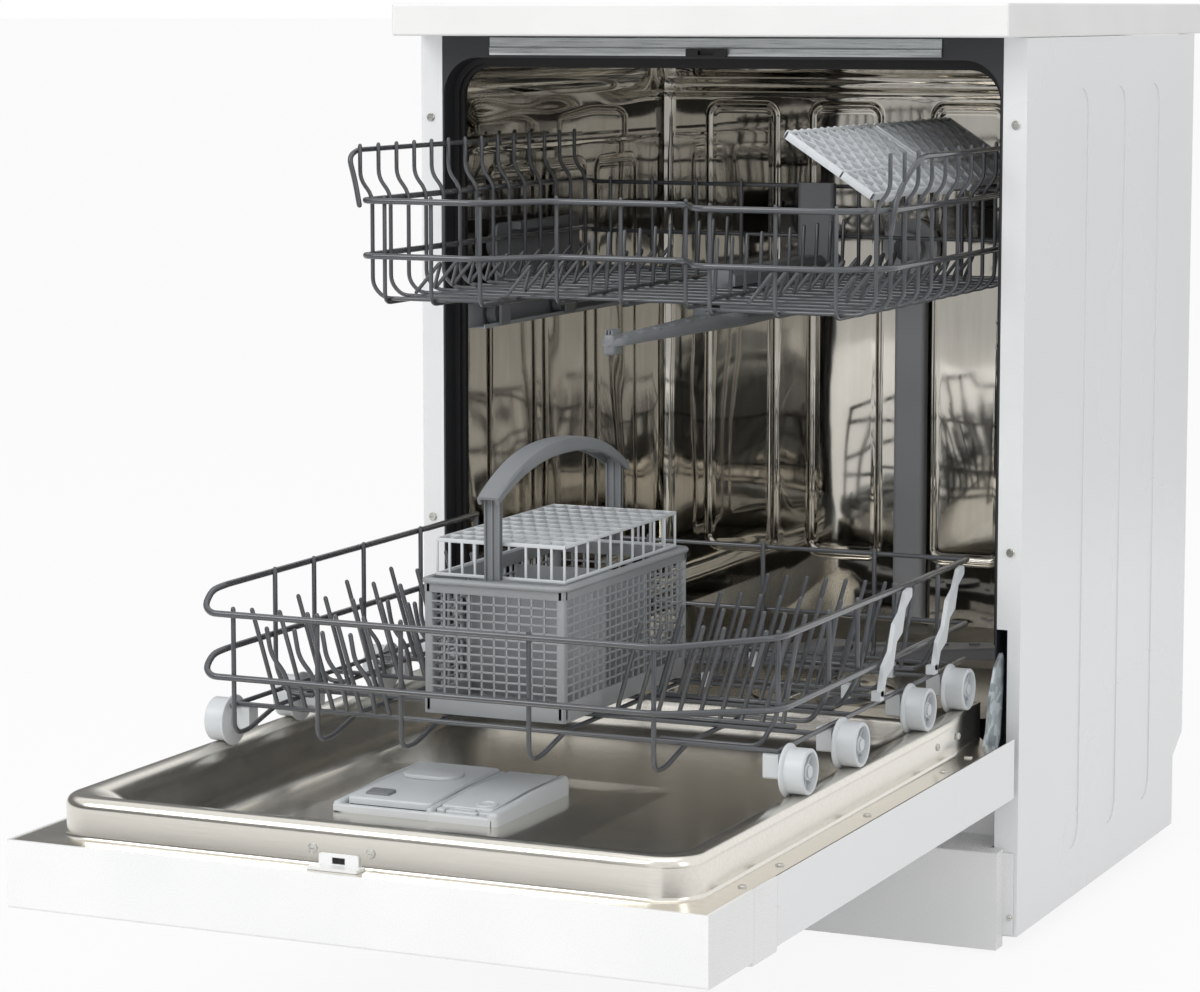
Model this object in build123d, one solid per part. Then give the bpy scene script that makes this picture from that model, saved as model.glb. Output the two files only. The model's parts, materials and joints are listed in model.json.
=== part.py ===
from build123d import *
import os
import math

os.makedirs("parts", exist_ok=True)

# Freestanding dishwasher with its door down and both racks drawn out. Millimetres, +Z up,
# +X to the right of a person who faces the machine, -Y towards that person.

# overall sizes
case_width = 598.0
case_depth = 548.0
case_bottom = 12.0
worktop_overhang = 1.0
worktop_width = case_width + 2 * worktop_overhang
worktop_front = -58.0
worktop_rear = 568.0
worktop_under = 820.0
worktop_thick = 30.0
worktop_top = worktop_under + worktop_thick
sheet = 1.2
centre_shift = 77.0
foot_spread = case_width / 2 - 49
button_spread = case_width / 2 - 64

# opening and tub
flange_width = 22.0
flange_edge = case_width / 2 - flange_width
frame_depth = 44.0
opening_top = worktop_under - 19
corner_radius = 35.0
tub_half = flange_edge - 1
tub_top = opening_top - 9
tub_back_face = 528.0
ledge_height = 228.0
ledge_width = 19.0
ledge_edge = tub_half - ledge_width
ledge_start = 44.2
floor_height = 162.0
sump_y = 300.0

# door, lying open
door_front = -722.0
door_end = -13.0
door_outer = 141.0
door_inner = 196.0
fascia_back = -634.0
strip_back = -587.5
pivot_y = -50.5
pivot_z = 147.5
liner_half = flange_edge - 3
liner_front = -698.0
liner_end = -14.0
rim_top = 228.0
rim_inner_half = liner_half - 16
rim_inner_front = -682.0
rim_inner_end = -34.0
tray_floor = 186.0

# lower rack
rack_half = ledge_edge - 12
rack_front = -502.0
rack_rear = 5.0
rack_front_rim = 347.0
rack_left_rim = 366.0
rack_right_rim = 352.0
rack_middle = 294.0
rack_grid = 262.0
rack_low = 246.0
tine_first = 70.0
tine_pitch = 18.5
tine_count = int((rack_half - 17 - tine_first) / tine_pitch) + 1
fold_row_front = -200.0
fold_row_rear = -90.0
fold_height = 266.7
wire_thick = 2.8
wire_thin = 2.1
wheel_tread = 18.5
wheel_flange = 21.5
wheel_rows = (-446.0, -328.0, -162.0, -57.0)
axle_radius = 3.0
axle_height = rim_top + wheel_tread + 0.05

# cutlery basket
basket_width = 128.0
basket_left = -74.0
basket_right = basket_left + basket_width
basket_front = -440.0
basket_rear = -186.0
basket_bottom = 266.0
basket_rim = 379.0
lid_height = 32.0
handle_top = 484.0

# upper rack
top_rack_half = tub_half - 26
top_rack_lower_half = top_rack_half - 12
top_rack_front = -228.0
top_rack_setback = -172.0
top_rack_rear = 265.0
# its rim and floor part the height between ledge and roof, so it clears the roof and the basket's handle
tub_inside = tub_top - ledge_height
rim_share = 492 / 564
floor_share = 361 / 564
top_rim = ledge_height + tub_inside * rim_share
top_rack_bottom = ledge_height + tub_inside * floor_share
front_rail_high = top_rim - 44
front_rail_low = top_rack_bottom + 38
top_rack_pitch = 35.0
roller_radius = 11.0
roller_height = top_rack_bottom - 37
roller_rise = 66.0
roller_rows = (86.0, 236.0)
shelf_hinge_x = top_rack_half - 22
shelf_hinge_z = top_rim - 36
shelf_depth = 96.0
shelf_length = 208.0
shelf_tilt = 33.0

# spray arms
arm_reach = 246.0
arm_centre_x = 5.0
arm_centre_y = 8.0
arm_height = top_rack_bottom - 33
lower_arm_height = 196.0
lower_arm_reach = 200.0


def block(x0, x1, y0, y1, z0, z1):
    size = (x1 - x0, y1 - y0, z1 - z0)
    return Pos((x0 + x1) / 2, (y0 + y1) / 2, (z0 + z1) / 2) * Box(*size)


def sided(side, near, far, y0, y1, z0, z1):
    return block(min(side * near, side * far), max(side * near, side * far), y0, y1, z0, z1)


def rod(start, end, radius):
    a = Vector(*start)
    b = Vector(*end)
    return Solid.make_cylinder(radius, (b - a).length, Plane(origin=a, z_dir=b - a))


def bent(points, radius, bend):
    path = FilletPolyline(*points, radius=bend)
    return sweep(Plane(origin=path @ 0, z_dir=path % 0) * Circle(radius), path=path)


def kinked(points, radius):
    path = Polyline(*points)
    return sweep(Plane(origin=path @ 0, z_dir=path % 0) * Circle(radius), path=path,
                 transition=Transition.RIGHT)


def mirrored(shape):
    return mirror(shape, about=Plane.YZ)


def joined(shapes):
    return Compound(children=list(shapes))


def fused(shapes):
    first = shapes[0]
    return first.fuse(*shapes[1:])


def round_slab(x0, x1, y0, y1, z0, z1, radius):
    plan = Pos((x0 + x1) / 2, (y0 + y1) / 2, z0) * RectangleRounded(x1 - x0, y1 - y0, radius)
    return extrude(plan, z1 - z0)


def save(shape, name):
    export_step(Pos(0, centre_shift, 0) * shape, "parts/" + name + ".step")


# cabinet

def make_worktop():
    slab = block(-worktop_width / 2, worktop_width / 2, worktop_front, worktop_rear,
                 worktop_under, worktop_top)
    slab = fillet(slab.edges().filter_by(Axis.X).group_by(Axis.Y)[0], 2.5)
    return chamfer(slab.edges().filter_by(Axis.Y).group_by(Axis.Z)[-1], 1.2)


def make_side_panel():
    half = case_width / 2
    notch_height = 97.0
    notch_depth = 34.0
    outline = Polyline((0, case_bottom), (case_depth - notch_depth, case_bottom),
                       (case_depth - notch_depth, notch_height - 14),
                       (case_depth, notch_height + 6),
                       (case_depth, worktop_under - 0.4), (0, worktop_under - 0.4), close=True)
    skin = Pos(half - sheet, 0, 0) * extrude(Plane.YZ * make_face(outline), sheet)
    panel = skin + block(flange_edge, half - sheet, 0, sheet, case_bottom, worktop_under - 0.4)
    panel += block(half - 16, half - sheet, case_depth - sheet, case_depth,
                   notch_height + 6, worktop_under - 0.4)
    panel -= block(flange_edge - 1, flange_edge + 10, -1, sheet + 1, 172, 292)
    rib_low = 58.0
    rib_high = worktop_under - 46
    for rib_y in (164.0, 285.0, 403.0):
        rib = Plane.YZ * Pos(rib_y, (rib_low + rib_high) / 2) * Rot(0, 0, 90) * SlotOverall(
            rib_high - rib_low, 46)
        panel += Pos(half - sheet - 1.0, 0, 0) * extrude(rib, 1.0)
        inner = Plane.YZ * Pos(rib_y, (rib_low + rib_high) / 2) * Rot(0, 0, 90) * SlotOverall(
            rib_high - rib_low - 3, 43)
        panel -= Pos(half - 1.0, 0, 0) * extrude(inner, 1.2)
    return panel


def make_back_panel():
    half = case_width / 2 - 17
    rib_low = 190.0
    rib_high = worktop_under - 70
    rib_long = rib_high - rib_low
    rib_middle = (rib_low + rib_high) / 2
    face = block(-half, half, case_depth - 1.2 - 0.4, case_depth - 0.4, 108, worktop_under - 2)
    for rib_x in (-180.0, -60.0, 60.0, 180.0):
        rib = Plane.XZ * Pos(rib_x, rib_middle) * Rot(0, 0, 90) * SlotOverall(rib_long, 34)
        face += Pos(0, case_depth - 0.4, 0) * extrude(rib, -2.4)
        inner = Plane.XZ * Pos(rib_x, rib_middle) * Rot(0, 0, 90) * SlotOverall(rib_long - 3, 31)
        face -= Pos(0, case_depth - 2.6, 0) * extrude(inner, -3.6)
    return face


def make_base_tray():
    half = case_width / 2 - 15
    tray = block(-half, half, 46, 512, 26, 146)
    tray = fillet(tray.edges().filter_by(Axis.Z), 12)
    tray -= block(-half + 4, half - 4, 50, 508, 30, 150)
    for foot_x in (-foot_spread, foot_spread):
        for foot_y in (80, 480):
            tray += Pos(foot_x, foot_y, 43) * Cylinder(18, 34)
            tray -= Pos(foot_x, foot_y, 40) * Cylinder(6.4, 50)
    for rib_x in (-150.0, 150.0):
        tray += block(rib_x - 2, rib_x + 2, 50, 508, 30, 46)
    tray -= Pos(-190, 510, 84) * Rot(90, 0, 0) * Cylinder(18.4, 20)
    tray -= Pos(190, 510, 84) * Rot(90, 0, 0) * Cylinder(15.4, 20)
    return tray


def make_feet():
    feet = []
    profile = Polyline((0, 0), (21, 0), (21, 5), (14, 10), (14, 18), (6, 18), (6, 58), (0, 58), close=True)
    foot = revolve(Plane.XZ * make_face(profile), Axis.Z)
    for foot_x in (-foot_spread, foot_spread):
        for foot_y in (80, 480):
            feet.append(Pos(foot_x, foot_y, 0) * foot)
    return joined(feet)


def make_plinth():
    front = -20.0
    face = Polyline((front, 3), (front + 2, 3), (front + 2, 90), (-0.6, 90.6), (-0.6, 92.6), (front + 1, 92),
                    (front, 91), close=True)
    shelf = Polyline((-1, 90.6), (41, 92), (43, 95), (43, 150), (41, 150), (41, 95), (39, 94), (-1, 92.6),
                     close=True)
    half = case_width / 2 - 13
    tab_edge = case_width / 2 - 3
    cover = Pos(-half, 0, 0) * extrude(Plane.YZ * make_face(face), 2 * half)
    cover += Pos(-half + 12, 0, 0) * extrude(Plane.YZ * make_face(shelf), 2 * half - 24)
    for side in (-1, 1):
        cover += sided(side, half - 2, half, front, -0.5, 3, 91)
        cover += sided(side, half, tab_edge, -2.3, -0.5, 14, 89)
    return cover


def frame_ring(half, top, radius, low, y0, y1):
    outline = Rectangle(2 * half, top - low + 60)
    outline = Pos(0, (top + low - 60) / 2) * outline
    face = fillet(outline.vertices().group_by(Axis.Y)[-1], radius)
    return Pos(0, y0, 0) * extrude(Plane.XZ * face, -(y1 - y0))


def make_front_frame():
    low = 150.0
    plate = block(-flange_edge + 0.3, flange_edge - 0.3, 0.3, 2.0, opening_top - 161, worktop_under - 0.4)
    plate += frame_ring(flange_edge - 0.3, opening_top, corner_radius, low, 0.3, frame_depth)
    plate -= frame_ring(flange_edge - 1.8, opening_top - 1.5, corner_radius, low, -1, frame_depth + 1)
    plate &= block(-case_width / 2, case_width / 2, -1, 100, low, worktop_under)
    return plate


def make_top_trim():
    low = opening_top + 1
    high = worktop_under - 1
    left = -flange_edge + 51
    right = flange_edge - 57
    profile = Polyline((0, low), (-2.6, low), (-3.2, low + 2), (-3.2, low + 6.5), (-2, low + 8),
                       (-2, high - 1), (0, high), close=True)
    return Pos(left, 0, 0) * extrude(Plane.YZ * make_face(profile), right - left)


def make_latch():
    low = opening_top
    latch = block(-24, 15, -9, -3.5, low, low + 8)
    latch = fillet(latch.edges().filter_by(Axis.Y), 1.5)
    latch -= block(-12, 4, -10, -5, low + 2, low + 6)
    return latch + block(-20, 11, -3.5, -3.3, low + 1.6, low + 6.4)


def make_gasket():
    outer = frame_ring(flange_edge - 2.0, opening_top - 1.7, corner_radius - 0.3, 190, 20, 38)
    lip = frame_ring(flange_edge - 2.0, opening_top - 1.7, corner_radius - 0.3, 190, 25, 30)
    outer -= frame_ring(flange_edge - 7.5, opening_top - 7.2, corner_radius - 4, 190, 10, 60)
    lip -= frame_ring(flange_edge - 11.0, opening_top - 10.7, corner_radius - 7, 190, 10, 60)
    seal = outer + lip
    return seal & block(-flange_edge, flange_edge, 0, 100, 273, opening_top)


def tub_section(grow):
    half = tub_half + grow
    top = tub_top + grow
    low = ledge_height - grow
    edge = ledge_edge + grow
    points = ((-edge, 170), (-edge, low), (-half, low), (-half, top), (half, top), (half, low),
              (edge, low), (edge, 170))
    return make_face(Polyline(*points, close=True))


def make_tub_wrap():
    gauge = 0.9
    depth = tub_back_face - frame_depth
    outer_face = tub_section(gauge)
    outer_face = fillet(outer_face.vertices().group_by(Axis.Y)[-1], 34)
    inner_face = tub_section(0)
    inner_face = fillet(inner_face.vertices().group_by(Axis.Y)[-1], 33)
    outer = Pos(0, frame_depth, 0) * extrude(Plane.XZ * outer_face, -depth)
    wrap = outer - Pos(0, frame_depth - 1, 0) * extrude(Plane.XZ * inner_face, -(depth + 2))
    wrap -= block(-ledge_edge - 3, ledge_edge + 3, 0, tub_back_face + 72, 160, 200)
    for bead_z in (420.0, tub_top - 132):
        for side in (-1, 1):
            x_out = side * (tub_half - 1.6)
            bead = Pos(x_out, 292, bead_z) * Box(3.2, 380, 12)
            bead = fillet(bead.edges().filter_by(Axis.X), 5.9)
            wrap += bead
    return wrap


def make_tub_back():
    gauge = 0.9
    plan = Pos(0, (tub_top + 170) / 2) * RectangleRounded(2 * tub_half, tub_top - 170, 32)
    wall = Pos(0, tub_back_face, 0) * extrude(Plane.XZ * plan, -gauge)
    pad_low = 268.0
    pad_high = tub_top - 48
    pad_middle = (pad_low + pad_high) / 2
    pad_long = pad_high - pad_low
    for x0 in (-224.0, -106.0, 30.0, 148.0):
        pad = Pos(x0 + 38.5, pad_middle) * RectangleRounded(77, pad_long, 12)
        wall += Pos(0, tub_back_face - 3, 0) * extrude(Plane.XZ * pad, -3.2)
        hollow = Pos(x0 + 38.5, pad_middle) * RectangleRounded(75, pad_long - 2, 11)
        wall -= Pos(0, tub_back_face - 2.1, 0) * extrude(Plane.XZ * hollow, -6)
    return wall


def make_tub_floor():
    gauge = 0.9
    half = ledge_edge - 0.4
    top_plan = Pos(0, (ledge_start + tub_back_face) / 2) * RectangleRounded(
        2 * half, tub_back_face - ledge_start - 0.6, 24)
    low_plan = Pos(0, (ledge_start + tub_back_face) / 2) * RectangleRounded(2 * half - 44, 420, 30)
    inner = loft([Pos(0, 0, 199.6) * top_plan, Pos(0, 0, floor_height) * low_plan])
    grown_top = Pos(0, (ledge_start + tub_back_face) / 2) * RectangleRounded(
        2 * half + 0.2, tub_back_face - ledge_start, 24)
    grown_low = Pos(0, (ledge_start + tub_back_face) / 2) * RectangleRounded(2 * half - 42, 422, 31)
    outer = loft([Pos(0, 0, 199.6) * grown_top, Pos(0, 0, floor_height - gauge) * grown_low])
    floor = outer - inner
    floor += Pos(0, sump_y, floor_height - 5.4) * Cylinder(78, 10)
    floor -= Pos(0, sump_y, floor_height) * Cylinder(76.4, 40)
    return floor


def make_rails():
    x0 = tub_half - 19.5
    x1 = tub_half - 1.0
    low = roller_height - roller_radius - 0.05
    high = roller_height + roller_radius + 1.4
    profile = Polyline((x0, low - 1.2), (x1, low - 1.2), (x1, high + 1.2), (x0, high + 1.2),
                       (x0, high - 2.6), (x0 + 1.2, high - 2.6), (x0 + 1.2, high), (x1 - 1.2, high),
                       (x1 - 1.2, low), (x0 + 1.2, low), (x0 + 1.2, low + 2.6), (x0, low + 2.6), close=True)
    rail = Pos(0, 48, 0) * extrude(Plane.XZ * make_face(profile), -440)
    stop = block(x0 + 0.6, x1 - 0.6, 473, 480, low - 0.4, high + 0.4)
    rail += stop
    for pad_y in (110.0, 440.0):
        rail += Pos(x1 + 0.4, pad_y, roller_height) * Rot(0, 90, 0) * Cylinder(7, 1.2)
    return joined([rail, mirrored(rail)])


def make_feed_pipe():
    left = -8.0
    right = 26.0
    middle = (left + right) / 2
    face = 513.0
    mouth = top_rack_bottom + 8
    duct = block(left, right, face, tub_back_face - 3.6, 204, mouth + 15)
    duct = fillet(duct.edges().filter_by(Axis.Z).group_by(Axis.Y)[0], 5)
    head = Pos(middle, face + 5.6, mouth) * Rot(90, 0, 0) * Cylinder(30, 11)
    pipe = duct + head
    pipe += Pos(middle, face - 6, mouth) * Rot(90, 0, 0) * Cylinder(17, 16)
    pipe -= Pos(middle, face - 8, mouth) * Rot(90, 0, 0) * Cylinder(13, 26)
    return pipe


def make_sump():
    profile = Polyline((0, 96), (30, 96), (60, 118), (74, 120), (74, 150), (76, 150), (76, 157),
                       (72, 157), (72, 124), (58, 122), (28, 100), (0, 100), close=True)
    return Pos(0, sump_y, 0) * revolve(Plane.XZ * make_face(profile), Axis.Z)


def make_filter_plate():
    plate = Pos(0, sump_y, floor_height - 1.6) * Cylinder(75.9, 3.2)
    plate += Pos(0, sump_y, floor_height + 0.9) * Cylinder(75.9, 2) - Pos(
        0, sump_y, floor_height + 0.9) * Cylinder(71, 4)
    plate -= Pos(34, sump_y - 34, floor_height) * Cylinder(25.5, 20)
    plate -= Pos(0, sump_y + 8, floor_height) * Cylinder(13, 20)
    for index in range(5):
        angle = math.radians(70 + 45 * index)
        plate -= Pos(50 * math.cos(angle), sump_y + 50 * math.sin(angle), floor_height) * Cylinder(4, 20)
    return plate


def make_filter():
    at = Pos(34, sump_y - 34, 0)
    profile = Polyline((0, 124), (20, 124), (22, 128), (22, 158), (25, 158), (25, 161), (17, 163),
                       (10, 166), (0, 166), close=True)
    cup = revolve(Plane.XZ * make_face(profile), Axis.Z)
    cup += block(-14, 14, -2, 2, 163, 178)
    cup += Pos(0, 0, 178) * Rot(90, 0, 0) * Cylinder(5, 4)
    return at * cup


def make_salt_cap():
    at = Pos(-150, 190, 0)
    profile = Polyline((0, 162.4), (27, 162.4), (29, 164), (29, 172), (26, 175), (0, 175), close=True)
    cap = revolve(Plane.XZ * make_face(profile), Axis.Z)
    cap += block(-22, 22, -3, 3, 174, 182)
    for index in range(8):
        angle = math.radians(45 * index)
        cap -= Pos(30 * math.cos(angle), 30 * math.sin(angle), 166) * Cylinder(2.4, 18)
    return at * cap


def blade(reach, hub_width, tip_width, thick):
    points = ((-reach, -tip_width / 2), (-reach, tip_width / 2), (-30, hub_width / 2),
              (30, hub_width / 2), (reach, tip_width / 2), (reach, -tip_width / 2),
              (30, -hub_width / 2), (-30, -hub_width / 2))
    face = make_face(Polyline(*points, close=True))
    face = fillet(face.vertices().group_by(Axis.X)[0], tip_width / 2 - 1)
    face = fillet(face.vertices().group_by(Axis.X)[-1], tip_width / 2 - 1)
    body = extrude(face, thick)
    return chamfer(body.faces().sort_by(Axis.Z)[-1].outer_wire().edges(), 2.5)


def make_lower_arm():
    arm = blade(lower_arm_reach, 64, 30, 11)
    jets = 5
    jet_first = 52.0
    jet_pitch = (lower_arm_reach - 20 - jet_first) / (jets - 1)
    for index in range(jets):
        for side in (-1, 1):
            jet_x = side * (jet_first + jet_pitch * index)
            arm += Pos(jet_x, side * 5, 11.6) * Box(11, 5, 2.4)
    arm += Pos(0, 0, 9) * Cylinder(24, 14)
    arm += Pos(0, 0, -9) * Cylinder(12, 20)
    return Pos(0, sump_y + 8, lower_arm_height) * Rot(0, 0, 28) * arm


def make_upper_arm():
    arm = blade(arm_reach, 62, 34, 13)
    for index in range(5):
        for side in (-1, 1):
            jet_x = side * (60 + 40 * index)
            arm += Pos(jet_x, side * 6, 13.6) * Box(12, 6, 2.4)
    arm += Pos(0, 0, 10) * Cylinder(26, 14)
    for side in (-1, 1):
        arm += Pos(side * (arm_reach - 12), 0, 3) * Box(20, 10, 22)
    return Pos(arm_centre_x, arm_centre_y, arm_height) * Rot(0, 0, -91) * arm


def make_pumps():
    wash = Pos(110, 180, 78) * Rot(90, 0, 0) * Cylinder(42, 96)
    wash += Pos(110, 243, 78) * Rot(90, 0, 0) * Cylinder(46, 30)
    wash += rod((110, 250, 108), (40, 280, 128), 15)
    drain = Pos(-120, 260, 74) * Rot(0, 90, 0) * Cylinder(26, 74)
    drain += rod((-88, 260, 92), (-40, 285, 112), 12)
    outline = Polyline((0, 95.9), (30, 95.9), (60.1, 117.9), (74.1, 119.9), (74.1, 160), (0, 160), close=True)
    cup = Pos(0, sump_y, 0) * revolve(Plane.XZ * make_face(outline), Axis.Z)
    return joined([wash - cup, drain - cup])


def make_inlet_spigot():
    profile = Polyline((0, 0), (18, 0), (18, 16), (12.6, 16), (12.6, 46), (8, 46), (8, 20), (0, 20),
                       close=True)
    spigot = revolve(Plane.XZ * make_face(profile), Axis.Z)
    return Pos(-190, 499, 84) * Rot(-90, 0, 0) * spigot


def make_drain_spigot():
    profile = Polyline((0, 0), (15, 0), (15, 9), (10.5, 9), (10.5, 31), (9.4, 32), (9.4, 34), (10.5, 36),
                       (9.4, 37), (9.4, 39), (10.2, 41), (9.6, 42), (7, 42), (7, 12), (0, 12), close=True)
    spigot = revolve(Plane.XZ * make_face(profile), Axis.Z)
    return Pos(190, 499, 84) * Rot(-90, 0, 0) * spigot


def screw_head(radius, height):
    head = Cylinder(radius, height)
    head = chamfer(head.edges().group_by(Axis.Z)[-1], height * 0.4)
    return head - Pos(0, 0, height / 2) * Box(radius * 1.1, 0.9, height)


def make_case_screws():
    screws = []
    for side in (-1, 1):
        for screw_z in (worktop_under - 77, 362.0):
            screws.append(Pos(side * (case_width / 2 - 10), -0.9, screw_z) * Rot(90, 0, 0)
                          * screw_head(4, 1.8))
        screws.append(Pos(side * (case_width / 2 - 6), -3.3, 30) * Rot(90, 0, 0) * screw_head(2.6, 1.8))
    return joined(screws)


# door

def make_door_panel():
    half = case_width / 2
    skin = block(-half, half, strip_back + 0.3, door_end, door_outer, door_inner)
    skin = fillet(skin.edges().filter_by(Axis.Y).group_by(Axis.Z)[0], 2)
    skin -= block(-half + 1, half - 1, strip_back - 1, door_end - 1, door_outer + 1, door_inner + 1)
    skin -= block(-half + 1, half - 1, door_end - 20, door_end + 5, 170, door_inner + 1)
    return skin


def make_fascia():
    half = case_width / 2
    body = block(-half, half, door_front, fascia_back, door_outer, door_inner)
    body = fillet(body.edges().filter_by(Axis.X).group_by(Axis.Z)[0].group_by(Axis.Y)[0], 2.5)
    body -= block(-half + 2.5, half - 2.5, door_front + 2.5, fascia_back + 5, door_outer + 2.5,
                  door_inner + 5)
    pocket = Pos(0, -688, door_outer + 13) * Box(324, 44, 30)
    pocket = fillet(pocket.edges().filter_by(Axis.Z), 14)
    body += pocket
    hollow = Pos(0, -688, door_outer + 10) * Box(320, 40, 32)
    hollow = fillet(hollow.edges().filter_by(Axis.Z), 12)
    body -= hollow
    for button_x in (-button_spread, button_spread):
        body -= Pos(button_x, -676, door_outer) * Cylinder(9.35, 12)
    body &= block(-half, half, door_front, fascia_back, door_outer, door_inner)
    return body


def make_strip():
    half = case_width / 2
    band = block(-half, half, fascia_back + 0.3, strip_back, door_outer - 4, door_inner)
    band = fillet(band.edges().filter_by(Axis.Y).group_by(Axis.Z)[0], 2.5)
    band -= block(-half + 2, half - 2, fascia_back - 1, strip_back - 2.2, door_outer - 2, door_inner + 1)
    band -= block(-half + 2, half - 2, strip_back - 4, strip_back + 1, 170, door_inner + 1)
    return band


def make_button(button_x):
    cap = Pos(button_x, -676, door_outer + 4) * Cylinder(9, 10)
    cap = chamfer(cap.edges().group_by(Axis.Z)[0], 0.8)
    return cap


def liner_pocket(grow, floor):
    x_high = rim_inner_half + grow
    y0_high = rim_inner_front - grow
    y1_high = rim_inner_end + grow
    x_low = rim_inner_half - 44 + grow
    y0_low = -628.0 - grow
    y1_low = -84.0 + grow
    high = Pos(0, (y0_high + y1_high) / 2, rim_top + 0.2) * RectangleRounded(
        2 * x_high, y1_high - y0_high, 22 + grow)
    low = Pos(0, (y0_low + y1_low) / 2, floor) * RectangleRounded(2 * x_low, y1_low - y0_low, 44 + grow)
    lip_half = rim_inner_half - 2 + grow
    lip = block(-lip_half, lip_half, -60, liner_end, 214 - grow, rim_top + 0.2)
    return loft([high, low]) + lip


def liner_hat(inset):
    length = liner_end - liner_front + 60
    plan = Pos(0, liner_front + length / 2, door_inner - 2) * RectangleRounded(
        2 * liner_half, length, 34)
    hat = extrude(plan, rim_top - door_inner + 2)
    hat = fillet(hat.edges().group_by(Axis.Z)[-1], 7)
    hat &= block(-400, 400, -800, liner_end, 0, 400)
    if inset > 0:
        plan = Pos(0, liner_front + length / 2, door_inner - 6) * RectangleRounded(
            2 * (liner_half - inset), length - 2 * inset, 34 - inset)
        hat = extrude(plan, rim_top - inset - door_inner + 6)
        hat = fillet(hat.edges().group_by(Axis.Z)[-1], 6)
        hat &= block(-400, 400, -800, liner_end - inset, 0, 400)
    return hat


def make_liner():
    flange_half = case_width / 2 - 2.8
    flange = block(-flange_half, flange_half, door_front + 3.4, liner_end, door_inner - 1.4, door_inner - 0.4)
    pocket = liner_pocket(0, tray_floor)
    shell = liner_pocket(1.0, tray_floor - 1.0)
    liner = flange + liner_hat(0) + shell
    liner -= pocket
    cavity = liner_hat(1.0) - shell
    liner -= cavity
    liner -= block(-case_width / 2, case_width / 2, door_front, 0, rim_top, rim_top + 5)
    for side in (-1, 1):
        liner -= sided(side, liner_half - 7, case_width / 2 - 1, -62, 0, 150, 240)
    return liner


def make_strike():
    body = Pos(-14.5, liner_front - 1.6, 201.3) * Box(34, 2.4, 11)
    body = fillet(body.edges().filter_by(Axis.Y), 2)
    body += block(-36, 7, -712, -699, door_inner - 0.2, door_inner + 2.2)
    body -= block(-20, -9, -702, -698.7, 199, 204)
    return body


def make_door_screws():
    screws = []
    for side in (-1, 1):
        for screw_y in (-628.0, -552.0, -359.5, -172.0, -106.0):
            screws.append(Pos(side * (case_width / 2 - 12), screw_y, door_inner + 0.3) * screw_head(3.6, 1.4))
        for screw_y in (-150.0, -96.0):
            screws.append(Pos(side * (liner_half + 0.7), screw_y, 212) * Rot(0, side * 90, 0)
                          * screw_head(3.2, 1.4))
    for screw_x in (-38.0, 12.0):
        screws.append(Pos(screw_x, liner_front - 0.7, 209) * Rot(90, 0, 0) * screw_head(3.8, 1.4))
    return joined(screws)


def make_dispenser_body():
    body = round_slab(-127, 24, -506, -364, tray_floor + 0.05, tray_floor + 12, 8)
    body = fillet(body.edges().group_by(Axis.Z)[-1], 2)
    body -= block(-117, -45, -497, -360, tray_floor + 6, tray_floor + 20)
    body -= Pos(2, -478, tray_floor + 12) * Cylinder(12.35, 12)
    return body


def make_dispenser_lid():
    lid = round_slab(-116.5, -45.5, -496, -372.5, tray_floor + 6.2, tray_floor + 22, 6)
    lid = chamfer(lid.edges().group_by(Axis.Z)[-1], 2)
    oval = Pos(-86, -410, tray_floor + 22) * Ellipse(22, 16)
    lid += extrude(oval, 0.6)
    lid += Pos(-81, -478, tray_floor + 22.4) * Box(26, 14, 1.6)
    return lid


def make_rinse_cap():
    cap = Pos(2, -478, tray_floor + 11) * Cylinder(12, 9.6)
    cap = chamfer(cap.edges().group_by(Axis.Z)[-1], 0.8)
    return cap + Pos(2, -478, tray_floor + 16.6) * Box(18, 3, 3)


def make_hinge_arm():
    outline = FilletPolyline((-118, 178), (-64, 178), (-44, 206), (-36, 238), (-22, 262), (-4, 274),
                             (2, 262), (-2, 232), (-8, 196), (-30, 164), (-58, 150), (-118, 160),
                             radius=4, close=True)
    plate = Pos(flange_edge + 4.5, 0, 0) * extrude(Plane.YZ * make_face(outline), 2.6)
    plate += Pos(flange_edge + 5.8, pivot_y, pivot_z + 8) * Rot(0, 90, 0) * Cylinder(7, 6)
    return plate


def make_hinge_arms():
    arm = make_hinge_arm()
    return joined([arm, mirrored(arm)])


# lower rack

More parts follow.
